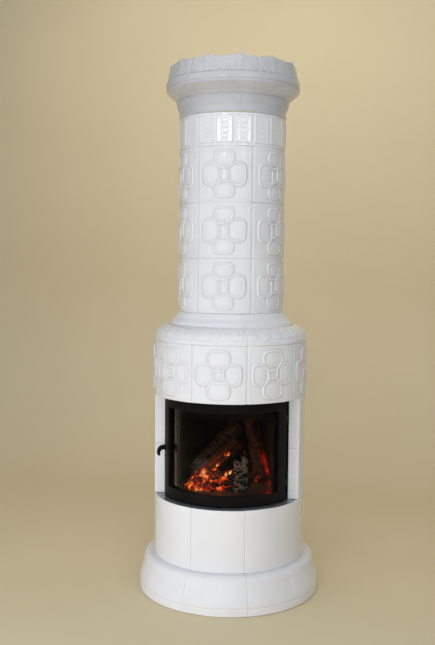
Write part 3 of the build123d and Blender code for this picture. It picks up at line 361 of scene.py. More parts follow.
def course(node, front, back, tiles, relief=None, step=PLAIN_STEP, edge=EDGE_DEPTH, marks=(), rise=None,
           look=None, bare=None, chosen=slice(None)):
    """One ring of tiles, each with its own slight unevenness, and the grout in its upright joints."""
    ring = Ring(front, back)
    pitch = 360 / tiles
    angles = [number * pitch for number in range(tiles)][chosen]
    half = math.radians(pitch) / 2 * ring.radius - JOINT / 2
    places = face_places(half, step, marks)
    u = places[:, None]
    middle = (front[0, 1] + front[-1, 1]) / 2
    height = max(front[-1, 1] - front[0, 1], 0.05)
    carved = np.zeros((len(places), len(front)))
    pool = 0.0
    if relief:
        carved = carved + relief(u, front[:, 1][None, :], ring.along[None, :])
        pool = pooled(carved, places, ring.along)
    if bare is not None:
        pool = -bare  # the glaze look takes a negative pool as the ledge's painted shade
    for angle in angles:
        lift = carved + uneven(u, front[:, 1] - middle, half, height) - edge_drop(u, half, edge)
        ring.add(angle, places, lift, pool, rng.uniform(-1, 1), rise)
    add_joints(ring, angles, pitch, rise)
    ring.show(node.replace("tiles", "ring"), look or white, "white_glaze", node)


def flat_course(node, radius, low, high, tiles, relief=None, step=PLAIN_STEP, **more):
    """A course with an upright face and a plain back."""
    inner = radius - TILE_DEPTH
    back = [(inner, high - JOINT / 2), (inner, low + JOINT / 2)]
    course(node, upright_face(radius, low, high, step), back, tiles, relief, step, **more)


# ---- grout: thin strips a little behind the glazed faces ----
grout = Heap()


def add_joints(ring, angles, pitch, rise=None):
    """Upright strips on both sides of each tile."""
    plain = Ring(ring.front, ring.back, ring.radius)
    ends = np.array([-JOINT / 2, JOINT / 2])
    joints = {round((angle + side * pitch / 2) % 360, 3) for angle in angles for side in (-1, 1)}
    half = math.radians(pitch / 2) * ring.radius
    lift = np.full((2, len(plain.front)), -GROUT_BACK)
    at_edge = (lambda u, z: rise(u + half, z)) if rise else None
    for joint in sorted(joints):
        plain.add(joint, ends, lift, rise=at_edge)
    grout.take(np.vstack(plain.points), plain.faces)


def add_seam(radius, z, start=0.0, end=360.0):
    """Level strip between two courses."""
    whole = end - start >= 360
    outer, inner = radius - GROUT_BACK, radius - GROUT_DEPTH
    low, high = z - JOINT / 2, z + JOINT / 2
    corners = ((inner, low), (outer, low), (outer, high), (inner, high))
    turn = np.radians(np.linspace(start, end, SEAM_POINTS, endpoint=not whole))
    points = [(r * math.sin(a), -r * math.cos(a), h) for a in turn for r, h in corners]
    closed = [[corner % len(points) for corner in face] for face in strips(SEAM_POINTS + 1, 4)]
    grout.take(np.array(points), closed if whole else tube(SEAM_POINTS, 4))


# ---- materials ----
class Look:
    """A procedural material built from noise in the object's own space."""

    def __init__(self, name, **sockets):
        self.material = bpy.data.materials.new(name)
        self.material.use_nodes = True
        self.tree = self.material.node_tree
        self.shader = self.tree.nodes["Principled BSDF"]
        self.place = self.node("TexCoord").outputs["Object"]
        self.height = None
        for socket, value in sockets.items():
            self.shader.inputs[socket.replace("_", " ").title().replace("Ior", "IOR")].default_value = value

    def node(self, kind, **inputs):
        """Add a node, and set or link its inputs."""
        made = self.tree.nodes.new("ShaderNode" + kind)
        for name, value in inputs.items():
            self.put(value, made.inputs[name.replace("_", " ")])
        return made

    def put(self, value, socket):
        """Link another node's output to a socket, or set the socket to a value."""
        if isinstance(value, bpy.types.NodeSocket):
            self.tree.links.new(value, socket)
        else:
            socket.default_value = value

    def stretched(self, stretch):
        """The place on the piece, stretched along its axes."""
        return self.node("Mapping", Vector=self.place, Scale=stretch).outputs["Vector"]

    def noise(self, scale, detail, rough=0.5, stretch=(1, 1, 1)):
        place = self.stretched(stretch)
        return self.node("TexNoise", Vector=place, Scale=scale, Detail=detail, Roughness=rough).outputs["Fac"]

    def cells(self, scale, stretch=(1, 1, 1)):
        return self.node("TexVoronoi", Vector=self.stretched(stretch), Scale=scale).outputs["Distance"]

    def attribute(self, name, output="Fac"):
        made = self.node("Attribute")
        made.attribute_name = name
        return made.outputs[output]

    def ramp(self, value, *stops):
        """Colours along a value."""
        made = self.node("ValToRGB", Fac=value)
        colours = made.color_ramp.elements
        while len(colours) < len(stops):
            colours.new(0.5)
        for element, (place, colour) in zip(colours, stops):
            element.position = place
            element.color = (*colour, 1.0)
        return made.outputs["Color"]

    def spread(self, value, low, high, start=0.3, end=0.7):
        """Carry a value from start and end over to low and high."""
        made = self.node("MapRange", Value=value, From_Min=start, From_Max=end, To_Min=low, To_Max=high)
        return made.outputs["Result"]

    def maths(self, kind, *values):
        made = self.node("Math")
        made.operation = kind
        for value, socket in zip(values, made.inputs):
            self.put(value, socket)
        return made.outputs["Value"]

    def mix(self, share, first, second):
        """Mix two colours."""
        made = self.node("Mix")
        made.data_type = "RGBA"
        self.put(share, made.inputs["Factor"])
        for name, colour in (("A", first), ("B", second)):
            self.put(colour if isinstance(colour, bpy.types.NodeSocket) else (*colour, 1), made.inputs[name])
        return made.outputs["Result"]

    def blend(self, share, first, second):
        """Let two shaders share the surface."""
        both = self.node("MixShader", Fac=share)
        self.put(first, both.inputs[1])
        self.put(second, both.inputs[2])
        self.put(both.outputs["Shader"], self.tree.nodes["Material Output"].inputs["Surface"])

    def colour(self, value):
        self.put(value, self.shader.inputs["Base Color"])

    def roughness(self, value):
        self.put(value, self.shader.inputs["Roughness"])

    def relief(self, value, distance, strength=1.0):
        """Add fine bumps on top of the bumps made before."""
        made = self.node("Bump", Height=value, Strength=strength, Distance=distance)
        if self.height is not None:
            self.put(self.height, made.inputs["Normal"])
        self.height = made.outputs["Normal"]
        self.put(self.height, self.shader.inputs["Normal"])
        self.put(self.height, self.shader.inputs["Coat Normal"])

    def skin(self, colour, roughness, *bumps):
        """Colour stops, a range of roughness and bumps, each after the noise that it follows."""
        self.colour(self.ramp(self.noise(*colour[0]), *colour[1:]))
        self.roughness(self.spread(self.noise(*roughness[0]), *roughness[1:]))
        for noise_size, *bump_size in bumps:
            self.relief(self.noise(*noise_size), *bump_size)
        return self.material

    def burn(self, strength):
        """Glow that breaks through the cracks where the warmth attribute is high."""
        cracks = self.spread(self.noise(60, 5, 0.62), -0.42, 0.44, 0.34, 0.66)
        level = self.spread(self.maths("ADD", self.attribute("warmth"), cracks), 0.0, 1.0, 0.46, 1.6)
        hot = self.ramp(level, (0.0, (0, 0, 0)), (0.20, (0.12, 0.004, 0.002)), (0.46, (0.55, 0.045, 0.008)),
                        (0.74, (1.0, 0.24, 0.03)), (1.0, (1.0, 0.62, 0.22)))
        self.put(hot, self.shader.inputs["Emission Color"])
        self.shader.inputs["Emission Strength"].default_value = strength


def glaze_look(name, light, dark):
    """Thick white tin glaze: clouded, slightly wavy, darker where it has pooled, and painted dark grey on the
    inner ledge as shade and the black door's reflection.
    """
    look = Look(name, coat_weight=1.0, coat_roughness=0.035, coat_ior=1.48, specular_ior_level=0.4)
    cloud = look.ramp(look.noise(9, 3), (0.32, dark), (0.68, light))
    pool = look.maths("MULTIPLY", look.attribute("pool"), look.spread(look.noise(70, 3), 0.2, 0.5))
    pooled_white = look.mix(pool, cloud, (0.52, 0.53, 0.57))
    tone = look.spread(look.attribute("tone"), 0.0, 0.12, -1.0, 1.0)
    toned = look.mix(tone, pooled_white, (0.62, 0.62, 0.63))
    specks = look.spread(look.cells(150), 0.22, 0.0, 0.02, 0.05)
    speckled = look.mix(specks, toned, (0.50, 0.48, 0.45))
    # Painted shade and reflection of the black door: where the mask is set, the inner ledge turns dark grey.
    bare = look.spread(look.attribute("pool"), 0.0, 1.0, -0.2, -0.8)
    painted_ledge_shade_colour = look.ramp(look.noise(60, 4), (0.3, (0.12, 0.13, 0.125)), (0.7, (0.17, 0.18, 0.175)))
    look.colour(look.mix(bare, speckled, painted_ledge_shade_colour))
    look.roughness(look.spread(look.noise(30, 4), 0.30, 0.46))
    look.relief(look.noise(34, 3), 0.0010, 0.35)
    look.relief(look.noise(190, 3), 0.00035, 0.35)
    return look.material


def paint_look():
    """Heat-proof black paint, satin, with a fine grain and dusty patches."""
    stops = ((0.35, (0.0024, 0.0024, 0.0031)), (0.7, (0.0052, 0.0051, 0.0062)))
    look = Look("stove_paint", specular_ior_level=0.14)
    return look.skin(((14, 5), *stops), ((60, 5), 0.30, 0.46), ((900, 3), 0.00012, 0.5))


def steel_look():
    """Brushed bare steel."""
    brushed = (70, 5, 0.5, (1, 1, 9))
    stops = ((0.3, (0.30, 0.30, 0.31)), (0.72, (0.52, 0.51, 0.50)))
    look = Look("bare_steel", metallic=1.0)
    return look.skin((brushed, *stops), ((45, 6), 0.28, 0.52), (brushed, 0.00010, 0.4))


def iron_look():
    """Raw cast iron with a pitted skin."""
    stops = ((0.3, (0.016, 0.015, 0.015)), (0.75, (0.055, 0.048, 0.044)))
    look = Look("cast_iron", metallic=0.35)
    return look.skin(((50, 6), *stops), ((120, 5), 0.55, 0.8), ((380, 5, 0.65), 0.0006, 0.7))


def grout_look():
    """Pale sandy grout."""
    stops = ((0.3, (0.44, 0.435, 0.43)), (0.7, (0.58, 0.575, 0.565)))
    look = Look("tile_grout", specular_ior_level=0.2)
    return look.skin(((240, 5), *stops), ((300, 3), 0.75, 0.95), ((800, 4), 0.0004, 0.6))


def ember_look():
    """Charcoal with ash on it that glows in its cracks."""
    char = (110, 5, 0.6)
    stops = ((0.35, (0.010, 0.008, 0.008)), (0.7, (0.06, 0.045, 0.04)))
    look = Look("embers", specular_ior_level=0.2)
    look.burn(2.0)
    return look.skin((char, *stops), (char, 0.75, 0.95), (char, 0.0015, 0.8))


def refractory_look(name, light, dark, soot):
    """Fired or pressed slab with coarse grain and patches of soot."""
    look = Look(name, specular_ior_level=0.25)
    grain = look.ramp(look.noise(120, 6, 0.7), (0.3, dark), (0.7, light))
    stain = look.spread(look.noise(11, 6, 0.6), soot * 0.6, soot, 0.35, 0.6)
    look.colour(look.mix(stain, grain, (0.012, 0.010, 0.009)))
    look.roughness(look.spread(look.noise(90, 4), 0.8, 0.95))
    look.relief(look.noise(260, 6, 0.7), 0.0012, 0.8)
    return look.material


def rope_look():
    """Braided glass-fibre rope, greyed by soot."""
    look = Look("sealing_rope", specular_ior_level=0.2, roughness=0.9)
    strand = look.cells(420, (1, 1, 0.5))
    look.colour(look.ramp(strand, (0.05, (0.10, 0.095, 0.09)), (0.55, (0.028, 0.026, 0.025))))
    look.relief(strand, 0.0011, 0.9)
    return look.material


def glass_look():
    """Clear curved pane: it shows what is behind and mirrors the room at its rim angles."""
    look = Look("curved_glass")
    film = look.ramp(look.noise(6, 4), (0.35, (0.66, 0.63, 0.60)), (0.65, (0.78, 0.76, 0.74)))
    smear = look.spread(look.noise(25, 4), 0.03, 0.08)
    clear = look.node("BsdfTransparent", Color=film).outputs["BSDF"]
    shine = look.node("BsdfGlossy", Color=(0.9, 0.93, 1.0, 1), Roughness=smear).outputs["BSDF"]
    look.blend(look.node("Fresnel", IOR=1.17).outputs["Fac"], clear, shine)
    look.tree.nodes.remove(look.shader)
    return look.material


def log_look(name, bark, scar, wood, marks):
    """Split log: bark with dark cross marks on its round side, streaky wood on its split faces."""
    look = Look(name, specular_ior_level=0.2)
    look.place = look.attribute("grain", "Vector")
    grain = look.noise(70, 6, 0.65, (1, 1, 0.12))
    scars = look.noise(48, 5, 0.65, (0.6, 0.6, 1.7))
    skin = look.mix(look.spread(grain, 0.0, 0.7, 0.35, 0.65), bark, scar)
    skin = look.mix(look.spread(scars, 0.0, 1.0, marks, marks + 0.05), skin, (0.012, 0.010, 0.009))
    split = look.ramp(grain, (0.38, [0.15 * part for part in wood]), (0.60, wood))
    worn = look.spread(scars, 0.0, 0.8, marks + 0.04, marks + 0.12)
    split = look.mix(worn, split, (0.010, 0.008, 0.007))
    look.colour(look.mix(look.attribute("bark"), split, skin))
    look.roughness(look.spread(grain, 0.7, 0.95))
    look.relief(grain, 0.0030, 1.0)
    look.relief(scars, 0.0016, 0.8)
    look.burn(1.9)
    return look.material


def flame_look():
    """Flame: bright at its foot, fading to nothing at the tip."""
    look = Look("flame")
    torn = look.maths("SUBTRACT", look.attribute("warmth"), look.spread(look.noise(60, 3), 0.0, 0.5))
    colour = look.ramp(torn, (0.0, (0.30, 0.01, 0.0)), (0.3, (0.95, 0.16, 0.02)), (0.7, (1.0, 0.62, 0.22)))
    fire = look.node("Emission", Color=colour, Strength=1.6).outputs["Emission"]
    clear = look.node("BsdfTransparent").outputs["BSDF"]
    look.blend(look.spread(torn, 0.0, 0.85, 0.0, 0.5), clear, fire)
    look.tree.nodes.remove(look.shader)
    return look.material


def floor_look():
    """Plain pale studio paint that only shows on the side that faces the room."""
    look = Look("studio_floor", roughness=0.6, specular_ior_level=0.3)
    look.colour(look.ramp(look.noise(1.2, 3), (0.3, (0.70, 0.595, 0.385)), (0.7, (0.73, 0.625, 0.41))))
    clear = look.node("BsdfTransparent").outputs["BSDF"]
    look.blend(look.node("NewGeometry").outputs["Backfacing"], look.shader.outputs["BSDF"], clear)
    return look.material


white = glaze_look("white_glaze", (0.80, 0.80, 0.815), (0.765, 0.765, 0.785))
# Painted shade: the cornice and crest use a darker, bluer copy of the same white glaze, because the crown
# gets less light than the column.
painted_shade_crown_white = glaze_look("crown_glaze_painted_shade", (0.56, 0.565, 0.59), (0.51, 0.515, 0.54))
# Each log look: bark, its dark streaks, split wood, and the noise level above which cross marks lie.
log_wood = log_look("log_wood", (0.13, 0.072, 0.040), (0.010, 0.008, 0.006), (0.15, 0.060, 0.028), 0.49)
slot_looks = {
    "white_glaze": white,
    "black_steel": paint_look(),
    "bare_steel": steel_look(),
    "cast_iron": iron_look(),
    "refractory": refractory_look("refractory", (0.30, 0.255, 0.20), (0.19, 0.16, 0.125), 0.25),
    "curved_glass": glass_look(),
    "sealing_rope": rope_look(),
    "log_wood": log_wood,
    "embers": ember_look(),
}
lining = refractory_look("sooty_lining", (0.026, 0.017, 0.012), (0.010, 0.007, 0.005), 0.8)
node_looks = {name: lining for name in ("lining_left", "lining_right", "lining_back", "baffle_plate")}
for name, piece in frame["nodes"].items():
    for place, old in enumerate(piece.data.materials):
        piece.data.materials[place] = node_looks.get(name, slot_looks[old.name.split(".")[0]])


# ---- plain and moulded courses ----
def plinth():
    """Foot: a flat band, a crease, a slight hollow and a rolled nose under a shelf."""
    foot, shelf = drawn_from(PLINTH_R, 0), drawn_from(BODY_R, PLINTH_TOP)
    front = section(
        *foot((-5, 0)), foot((0, 4)), foot((0, 27)), foot((-1.8, 31), (0, 35)),
        foot((-2, 52), (-8.5, 75), (-15, 98)) + shelf((42.5, -36), (40, -20), (35, -8), (25, -1), (20, 0)),
        shelf((-4, 0)),
    )
    back = shelf((-28, 0), (-28, -26), (0, -26), (17, -34)) + foot((-34, 40), (-26, 0))
    course("plinth_tiles", front, back, BODY_TILES, edge=0.0009)


def lower_course():
    """Plain course with its ledge on the inside, painted dark grey as shade and the black door's reflection.
    """
    under = LEDGE_TOP - LEDGE_THICK
    front = section((BODY_R - EDGE_RETURN, PLINTH_TOP), [(BODY_R, PLINTH_TOP)], [(BODY_R, LEDGE_TOP)],
                    [(LEDGE_INNER_R, LEDGE_TOP)], [(LEDGE_INNER_R, under)], soft=0.0015)
    # Mask of painted shade: the ledge's top and inner edge turn dark grey, standing in for shadow and the
    # mirrored black door.
    bare = ramp(BODY_R - 0.0035 - front[:, 0], 0, 0.0012) * (front[:, 1] > LEDGE_TOP - 0.02)
    back = [(BODY_R - TILE_DEPTH, under), (BODY_R - TILE_DEPTH, PLINTH_TOP)]
    course("lower_tiles", front, back, BODY_TILES, edge=0.0012, bare=bare)


def corner_plan():
    """Plan of the right corner tile: a piece of the round body with a flat return at the opening."""
    inner_r, return_y = BODY_R - TILE_DEPTH, JAMB_Y + JAMB_THICK
    first, inner = math.acos(-JAMB_Y / BODY_R), math.acos(-return_y / inner_r)
    last = math.radians(2.5 * 360 / BODY_TILES) - JOINT / 2 / BODY_R
    outer_arc = [(BODY_R * math.sin(a), -BODY_R * math.cos(a)) for a in np.linspace(first, last, 40)]
    inner_arc = [(inner_r * math.sin(a), -inner_r * math.cos(a)) for a in np.linspace(last, inner, 40)]
    corners = [(JAMB_X, return_y), (JAMB_X, JAMB_Y), outer_arc[0]]
    line = resampled(np.array(outer_arc + inner_arc + corners), FINE)[:-1]
    return np.column_stack([blurred(line[:, axis], 0.0014, FINE, True) for axis in (0, 1)])


def corner_tiles():
    """The two white jambs, two tiles high on each side."""
    plan = corner_plan()
    plan = spaced(np.vstack([plan, plan[:1]]), PLAIN_STEP)[:-1]
    moves = np.roll(plan, -1, axis=0) - np.roll(plan, 1, axis=0)
    normal = np.column_stack([moves[:, 1], -moves[:, 0]]) / np.linalg.norm(moves, axis=1)[:, None]
    across = np.arctan2(plan[:, 0], -plan[:, 1]) * BODY_R
    for side, name in ((1, "right"), (-1, "left")):
        jamb = Heap()
        for low, high in SIDE_LEVELS:
            half = (high - low - JOINT) / 2
            levels = face_places(half, PLAIN_STEP)
            lift = uneven(across[None, :] - across.mean(), levels[:, None], 0.1, half)
            lift = lift - edge_drop(levels, half)[:, None]
            xy = plan[None] + normal[None] * lift[..., None]
            z = np.broadcast_to(levels[:, None] + (low + high) / 2, lift.shape)
            points = np.dstack([xy[..., 0] * side, xy[..., 1], z]).reshape(-1, 3)
            faces = tube(len(levels), len(plan), turned=side > 0)
            jamb.take(points, faces, pool=0.0, tone=rng.uniform(-1, 1))
        jamb.show(f"jamb_{name}", white, "white_glaze", f"jamb_tiles_{name}")


# ---- relief courses ----
BAND = 0.0125
RIDGE = 0.0042
PILLOW = 0.0030
FRAME = 0.0105
BEAD = 0.0011
# A knot: where cross strokes close its upright lobes, and its ribbons, the upright and the lying one.
# Of each ribbon: where its tip lies, half the width and the length of a lobe, and half the waist.
HEADER_KNOT = (0.031, (0.090, 0.0415, 0.058, 0.020), (0.086, 0.0385, 0.054, 0.016))
COLUMN_KNOT = (0.042, (0.088, 0.036, 0.047, 0.016), (0.083, 0.042, 0.056, 0.026))


def ribbon(tip, half_lobe, lobe_length, waist):
    """Centre line of a closed ribbon that runs up and down: a lobe at each end of a narrow waist."""
    shape = ((0, 0), (0.42, 0.015), (0.78, 0.09), (0.96, 0.27), (1, 0.52), (0.95, 0.76), (0.76, 0.96))
    quarter = [(across * half_lobe, tip - along * lobe_length) for across, along in shape]
    quarter = np.array(quarter + [(waist, tip - 1.24 * lobe_length), (waist, 0)])
    right = np.vstack([quarter, quarter[-2::-1] * (1, -1)])
    loop = np.vstack([right, right[-2:0:-1] * (-1, 1)])
    return resampled(spline(np.vstack([loop[-2:], loop, loop[:3]])), 0.0006)


def away_from(line, u, v):
    """Distance from every place to a fine line."""
    nearest = np.inf
    for x, y in line:
        nearest = np.minimum(nearest, (u - x) ** 2 + (v - y) ** 2)
    return np.sqrt(nearest)


def pillow(u, v, tip, half_lobe, lobe_length):
    """Soft cushion inside the lobe at each end of a ribbon."""
    across = np.abs(u / (half_lobe - 0.002)) ** 3.2
    along = np.abs((np.abs(v) - tip + lobe_length / 2) / (lobe_length / 2 - 0.001)) ** 3.2
    return np.clip(1 - across - along, 0, 1) ** 0.6


def woven_knot(middle, half_u, half_v, closed, upright, lying):
    """Two closed ribbons, one upright and one lying, woven through each other inside a fine frame."""
    line_up = ribbon(*upright)
    line_flat = ribbon(*lying)

    def relief(u, z, along):
        v = z - middle
        from_up = away_from(line_up, u, v)
        from_flat = away_from(line_flat, v, u)
        over_up = u * v > 0
        keep_flat = np.where(over_up, ramp(from_up, BAND * 0.42, BAND * 0.75), 1)
        keep_up = np.where(over_up, 1, ramp(from_flat, BAND * 0.42, BAND * 0.75))
        raised_up = bump(from_up, BAND / 2) ** 0.7 * keep_up
        raised_flat = bump(from_flat, BAND / 2) ** 0.7 * keep_flat
        field = np.maximum(pillow(u, v, *upright[:3]), pillow(v, u, *lying[:3]))
        closing = 0.75 * bump(np.abs(v) - closed, BAND * 0.42) * ramp(upright[1] * 0.8 - np.abs(u), 0, 0.012)
        raised = np.maximum(np.maximum(raised_up, raised_flat), closing)
        bead = BEAD * bump(rounded_box(u, v, half_u - FRAME, half_v - FRAME, 0.004), 0.0030)
        return np.maximum(RIDGE * raised, PILLOW * field) + bead
    return relief


def knot_course(node, radius, low, high, tiles, knot):
    """A flat course with one knot on every tile."""
    half = math.radians(180 / tiles) * radius
    relief = woven_knot((low + high) / 2, half, (high - low) / 2, *knot)
    flat_course(node, radius, low, high, tiles, relief, RELIEF_STEP)


PANEL_HALF = math.radians(17.2 / 2) * COLUMN_R
PANEL_PITCH = math.radians(20.0) * COLUMN_R
PANEL_HEIGHT = 0.104
PANEL_RELIEF = 0.0011
PLANT_RELIEF = 0.0009
PANEL_STEP = 0.0018


def plant(u, v):
    """Leaves in pairs on a stem over a cup, from 0 to 1."""
    shape = leaf(u, v, (0, 0.022), 0, 0.024, 0.007)
    for level in range(4):
        for side in (-1, 1):
            shape = np.maximum(shape, leaf(u, v, (0, -0.030 + 0.019 * level), side * 48, 0.023, 0.0062))
    cup = 0.9 * bump(rounded_box(u, v + 0.040, 0.013, 0.006, 0.004) + 0.003, 0.005)
    stem = 0.7 * bump(u, 0.0022) * (np.abs(v + 0.005) < 0.036)
    return np.maximum(np.maximum(shape, cup), stem)


def frieze():
    """Three raised upright panels to a tile, each with a small plant in low relief."""
    def relief(u, z, along):
        v = z - (COLUMN_TOP + FRIEZE_TOP) / 2
        carved = 0
        for number in (-1, 0, 1):
            du = u - number * PANEL_PITCH
            edge = rounded_box(du, v, PANEL_HALF, PANEL_HEIGHT / 2, 0.002)
            flat = PANEL_RELIEF + np.clip(du, -PANEL_HALF, PANEL_HALF) ** 2 / (2 * COLUMN_R)
            panel = flat * ramp(-edge, 0.0, 0.0018) + 0.0005 * bump(edge + 0.005, 0.0022)
            carved = carved + panel + PLANT_RELIEF * plant(du, v)
        return carved

    marks = [number * PANEL_PITCH + side * PANEL_HALF for number in (-1, 0, 1) for side in (-1, 1)]
    place = (COLUMN_R, COLUMN_TOP, FRIEZE_TOP, COLUMN_TILES)
    flat_course("frieze_tiles", *place, relief, PANEL_STEP, edge=0.0008, marks=marks)


def repeated(u, radius, count):
    """Place across the nearest of count evenly spread motifs, and that motif's width."""
    width = 2 * math.pi * radius / count
    return (u / width - np.floor(u / width) - 0.5) * width, width


def shoulder():
    """Step to the column: a bead, a roll of toothed leaves, a groove and a hollow neck."""
    roll, neck = drawn_from(HEADER_R, HEADER_TOP), drawn_from(COLUMN_R, HEADER_TOP)
    tip = drawn_from(COLUMN_R, SHOULDER_TOP)
    front = section(
        *roll((-4, SEAM)), roll((0.2, SEAM)), roll((0.5, 14)), roll((-3.6, 19)),
        roll((-7, 29), (-15, 40), (-31, 54), (-47, 62)), roll((-56, 60.5)) + neck((40, 66)),
        neck((37, 74)) + tip((32.5, -35), (20.5, -23), (12.5, -11), (8, -4)), tip((4, 0), (-6, 0)),
        step=0.0020, soft=0.0010,
    )
    back = tip((DEEP - 14, 0), (DEEP - 14, -28), (0, -34)) + roll((-66, 34), (DEEP, 10), (DEEP, 2 * SEAM))

    def relief(u, z, along):
        v = along - along[0, np.argmin(np.abs(front[:, 1] - HEADER_TOP - 0.019))]
        near, width = repeated(u, HEADER_R, 4 * BODY_TILES)
        between, _ = repeated(u + width / 2, HEADER_R, 4 * BODY_TILES)
        leaves = leaf(near, v, (0, 0.001), 0, 0.066, width * 0.56, 5)
        behind = 0.6 * leaf(between, v, (0, 0.006), 0, 0.0594, width * 0.42, 4)
        curls = 0
        for side in (-1, 1):
            curls = np.maximum(curls, leaf(near, v, (0, 0.016), side * 52, 0.024, 0.006))
            curls = np.maximum(curls, leaf(near, v, (0, 0.034), side * 42, 0.022, 0.005))
        return 0.0021 * np.maximum(leaves, behind) + 0.0009 * curls

    course("shoulder_tiles", front, back, BODY_TILES, relief, 0.0026, 0.0005)


def cornice():
    """Crown: a bead, an egg band, an undercut, a leafed cove and a flat fascia."""
    f, t = FRIEZE_TOP, CORNICE_TOP
    low, high, fascia = drawn_from(COLUMN_R, f), drawn_from(CORNICE_R, t), drawn_from(CORNICE_R, f)
    front = section(
        *low((-4, SEAM)), low((0.2, SEAM)), low((3, 4), (4.2, 8), (3, 12)), low((1.5, 14)), low((3.5, 32)),
        low((6, 36)), low((9, 50), (14.5, 66)), low((13, 69), (13, 72)), low((17, 73), (20, 78)),
        low((24, 83), (33, 88), (45.5, 99)), fascia((-2.5, 106), (0, 112)) + high((-1.6, -28.5)),
        high((-2.8, -26.5), (-0.6, -24.5)), high((0, -20), (0, -4)), high((-3, 0), (-12, 0)),
        step=0.0019, soft=0.0008,
    )
    inner = [(0.236, t), (0.236, t - 0.012), (0.215, t - 0.012), (0.215, f + 0.095)]
    back = inner + low((DEEP, 50), (DEEP, 2 * SEAM))

    def relief(u, z, along):
        near, width = repeated(u, CORNICE_R, 6 * COLUMN_TILES)
        between, _ = repeated(u + width / 2, CORNICE_R, 6 * COLUMN_TILES)
        v = z - (f + 0.052)
        round_egg = np.hypot(near / (width * 0.26), v / 0.0125)
        egg = 0.0019 * np.sqrt(np.clip(1 - round_egg ** 2, 0, 1))
        shell = 0.0013 * bump(round_egg - 1.42, 0.26) * ramp(0.012 - v, 0, 0.006)
        dart = 0.0013 * leaf(between, -v, (0, -0.013), 0, 0.026, width * 0.09)
        cove = (z > f + 0.074) * 0.0009 * leaf(near, z, (0, f + 0.074), 0, 0.031, width * 0.44, 3)
        pearl, pearl_width = repeated(u, CORNICE_R, 24 * COLUMN_TILES)
        beads = 0.0006 * bump(np.hypot(pearl / (pearl_width * 0.5), (z - f - 0.008) / 0.005), 1)
        return np.maximum(np.maximum(egg, shell), dart) + cove + beads

    course("cornice_tiles", front, back, COLUMN_TILES, relief, 0.0025, 0.0004, look=painted_shade_crown_white)


CREST_LEAVES = 12
CREST_LEAN = 0.011
CREST_THICK = 0.016


def crest_height(u):
    """Height of the crest's top edge: nearly level, with a small broken tip on every leaf."""
    near, width = repeated(u, CREST_R, CREST_LEAVES)
    tip = 0.0075 * np.exp(-((near + 0.002) / 0.011) ** 2)
    curls = 0.0012 * np.cos(2 * np.pi * 5 * near / width) + 0.0008 * np.cos(2 * np.pi * u / 0.041 + 1.0)
    sag = 0.0045 * (2 * near / width) ** 4
    return CREST_PEAK - 0.0085 + tip + curls - sag


def crest():
    """Ring of palmettes that lean inward."""
    foot, peak = CORNICE_TOP + JOINT, CORNICE_TOP + CREST_PEAK
    tip_r = CREST_R - CREST_LEAN
    strokes = ([(CREST_R, foot)], [(tip_r, peak)], [(tip_r - CREST_THICK, peak)])
    front = section((CREST_R - 0.006, foot), *strokes, step=0.0021, soft=0.0022)

    def rise(u, z):
        return CORNICE_TOP + (z - CORNICE_TOP) * crest_height(u) / CREST_PEAK

    def relief(u, z, along):
        near, width = repeated(u, CREST_R, CREST_LEAVES)
        v = (z - CORNICE_TOP) * np.ones_like(near)
        turn = np.arctan2(near, v + 0.012)
        away = np.hypot(near, v + 0.012)
        fan = 0.0022 * np.abs(np.cos(turn * 4.2)) ** 0.7 * ramp(away, 0.020, 0.034)
        for lean in (-58, -34, -12, 12, 34, 58):
            fan = np.maximum(fan, 0.0021 * leaf(near, v, (lean * 0.0001, 0.012), lean, 0.050, 0.0085, 4))
        fan = fan * (0.65 + 0.35 * np.cos(u * 250) * np.cos(v * 300 + u * 60))
        heart = 0.0022 * leaf(near, v, (0, 0.004), 0, 0.030, 0.011, 3)
        scroll = 0
        for side in (-1, 1):
            centre = np.hypot(near - side * width * 0.36, v - 0.012)
            scroll = np.maximum(scroll, bump(centre - 0.0075, 0.0030))
            scroll = np.maximum(scroll, 0.8 * bump(centre, 0.0030))
        gap = ramp(width / 2 - np.abs(near), 0.0, 0.006)
        face = ramp(CREST_PEAK - v, -0.002, 0.004)
        return (np.maximum(fan * (0.45 + 0.55 * gap), heart) + 0.0020 * scroll) * face

    back = [(CREST_R - CREST_THICK, foot)]
    course("crest_tiles", front, back, COLUMN_TILES, relief, 0.0021, 0.0003, rise=rise, look=painted_shade_crown_white)


plinth()
lower_course()
for name, (low, high) in zip(("lower", "upper"), SIDE_LEVELS):
    flat_course(f"side_tiles_{name}", BODY_R, low, high, BODY_TILES, chosen=slice(3, 7))
corner_tiles()
knot_course("header_tiles", HEADER_R, OPENING_TOP, HEADER_TOP, BODY_TILES, HEADER_KNOT)
shoulder()
for number, name in enumerate(("lower", "middle", "upper")):
    low = SHOULDER_TOP + number * COURSE_HEIGHT
    knot_course(f"column_tiles_{name}", COLUMN_R, low, low + COURSE_HEIGHT, COLUMN_TILES, COLUMN_KNOT)
frieze()
cornice()
crest()
add_seam(BODY_R, PLINTH_TOP)
add_seam(HEADER_R, HEADER_TOP)
for z in (COLUMN_TOP, FRIEZE_TOP, SHOULDER_TOP + COURSE_HEIGHT, SHOULDER_TOP + 2 * COURSE_HEIGHT):
    add_seam(COLUMN_R, z)
add_seam(BODY_R, SIDE_JOINT, 2.5 * 360 / BODY_TILES, 6.5 * 360 / BODY_TILES)
grout.show("joint_grout", grout_look(), "refractory")


# ---- fire load ----
# Width, length, spin, lean, turn in plan, where the foot stands in x, and what its back touches in y.
LOGS = {
    "log_birch": (0.062, 0.128, -10, 3, 0, 0.071, -0.134),
    "log_lower": (0.068, 0.235, 200, 57, 52, -0.124, 0.044),
    "log_upper": (0.082, 0.280, 30, 49, 46, -0.140, LINING_BACK_Y),
    "log_right": (0.066, 0.285, 190, 42, -22, 0.148, LINING_BACK_Y),
}
LOG_STEP = 0.004
LOG_ROUGH = 0.0034
BIRCH_SHARD = 0.052
TORN_END = 0.05
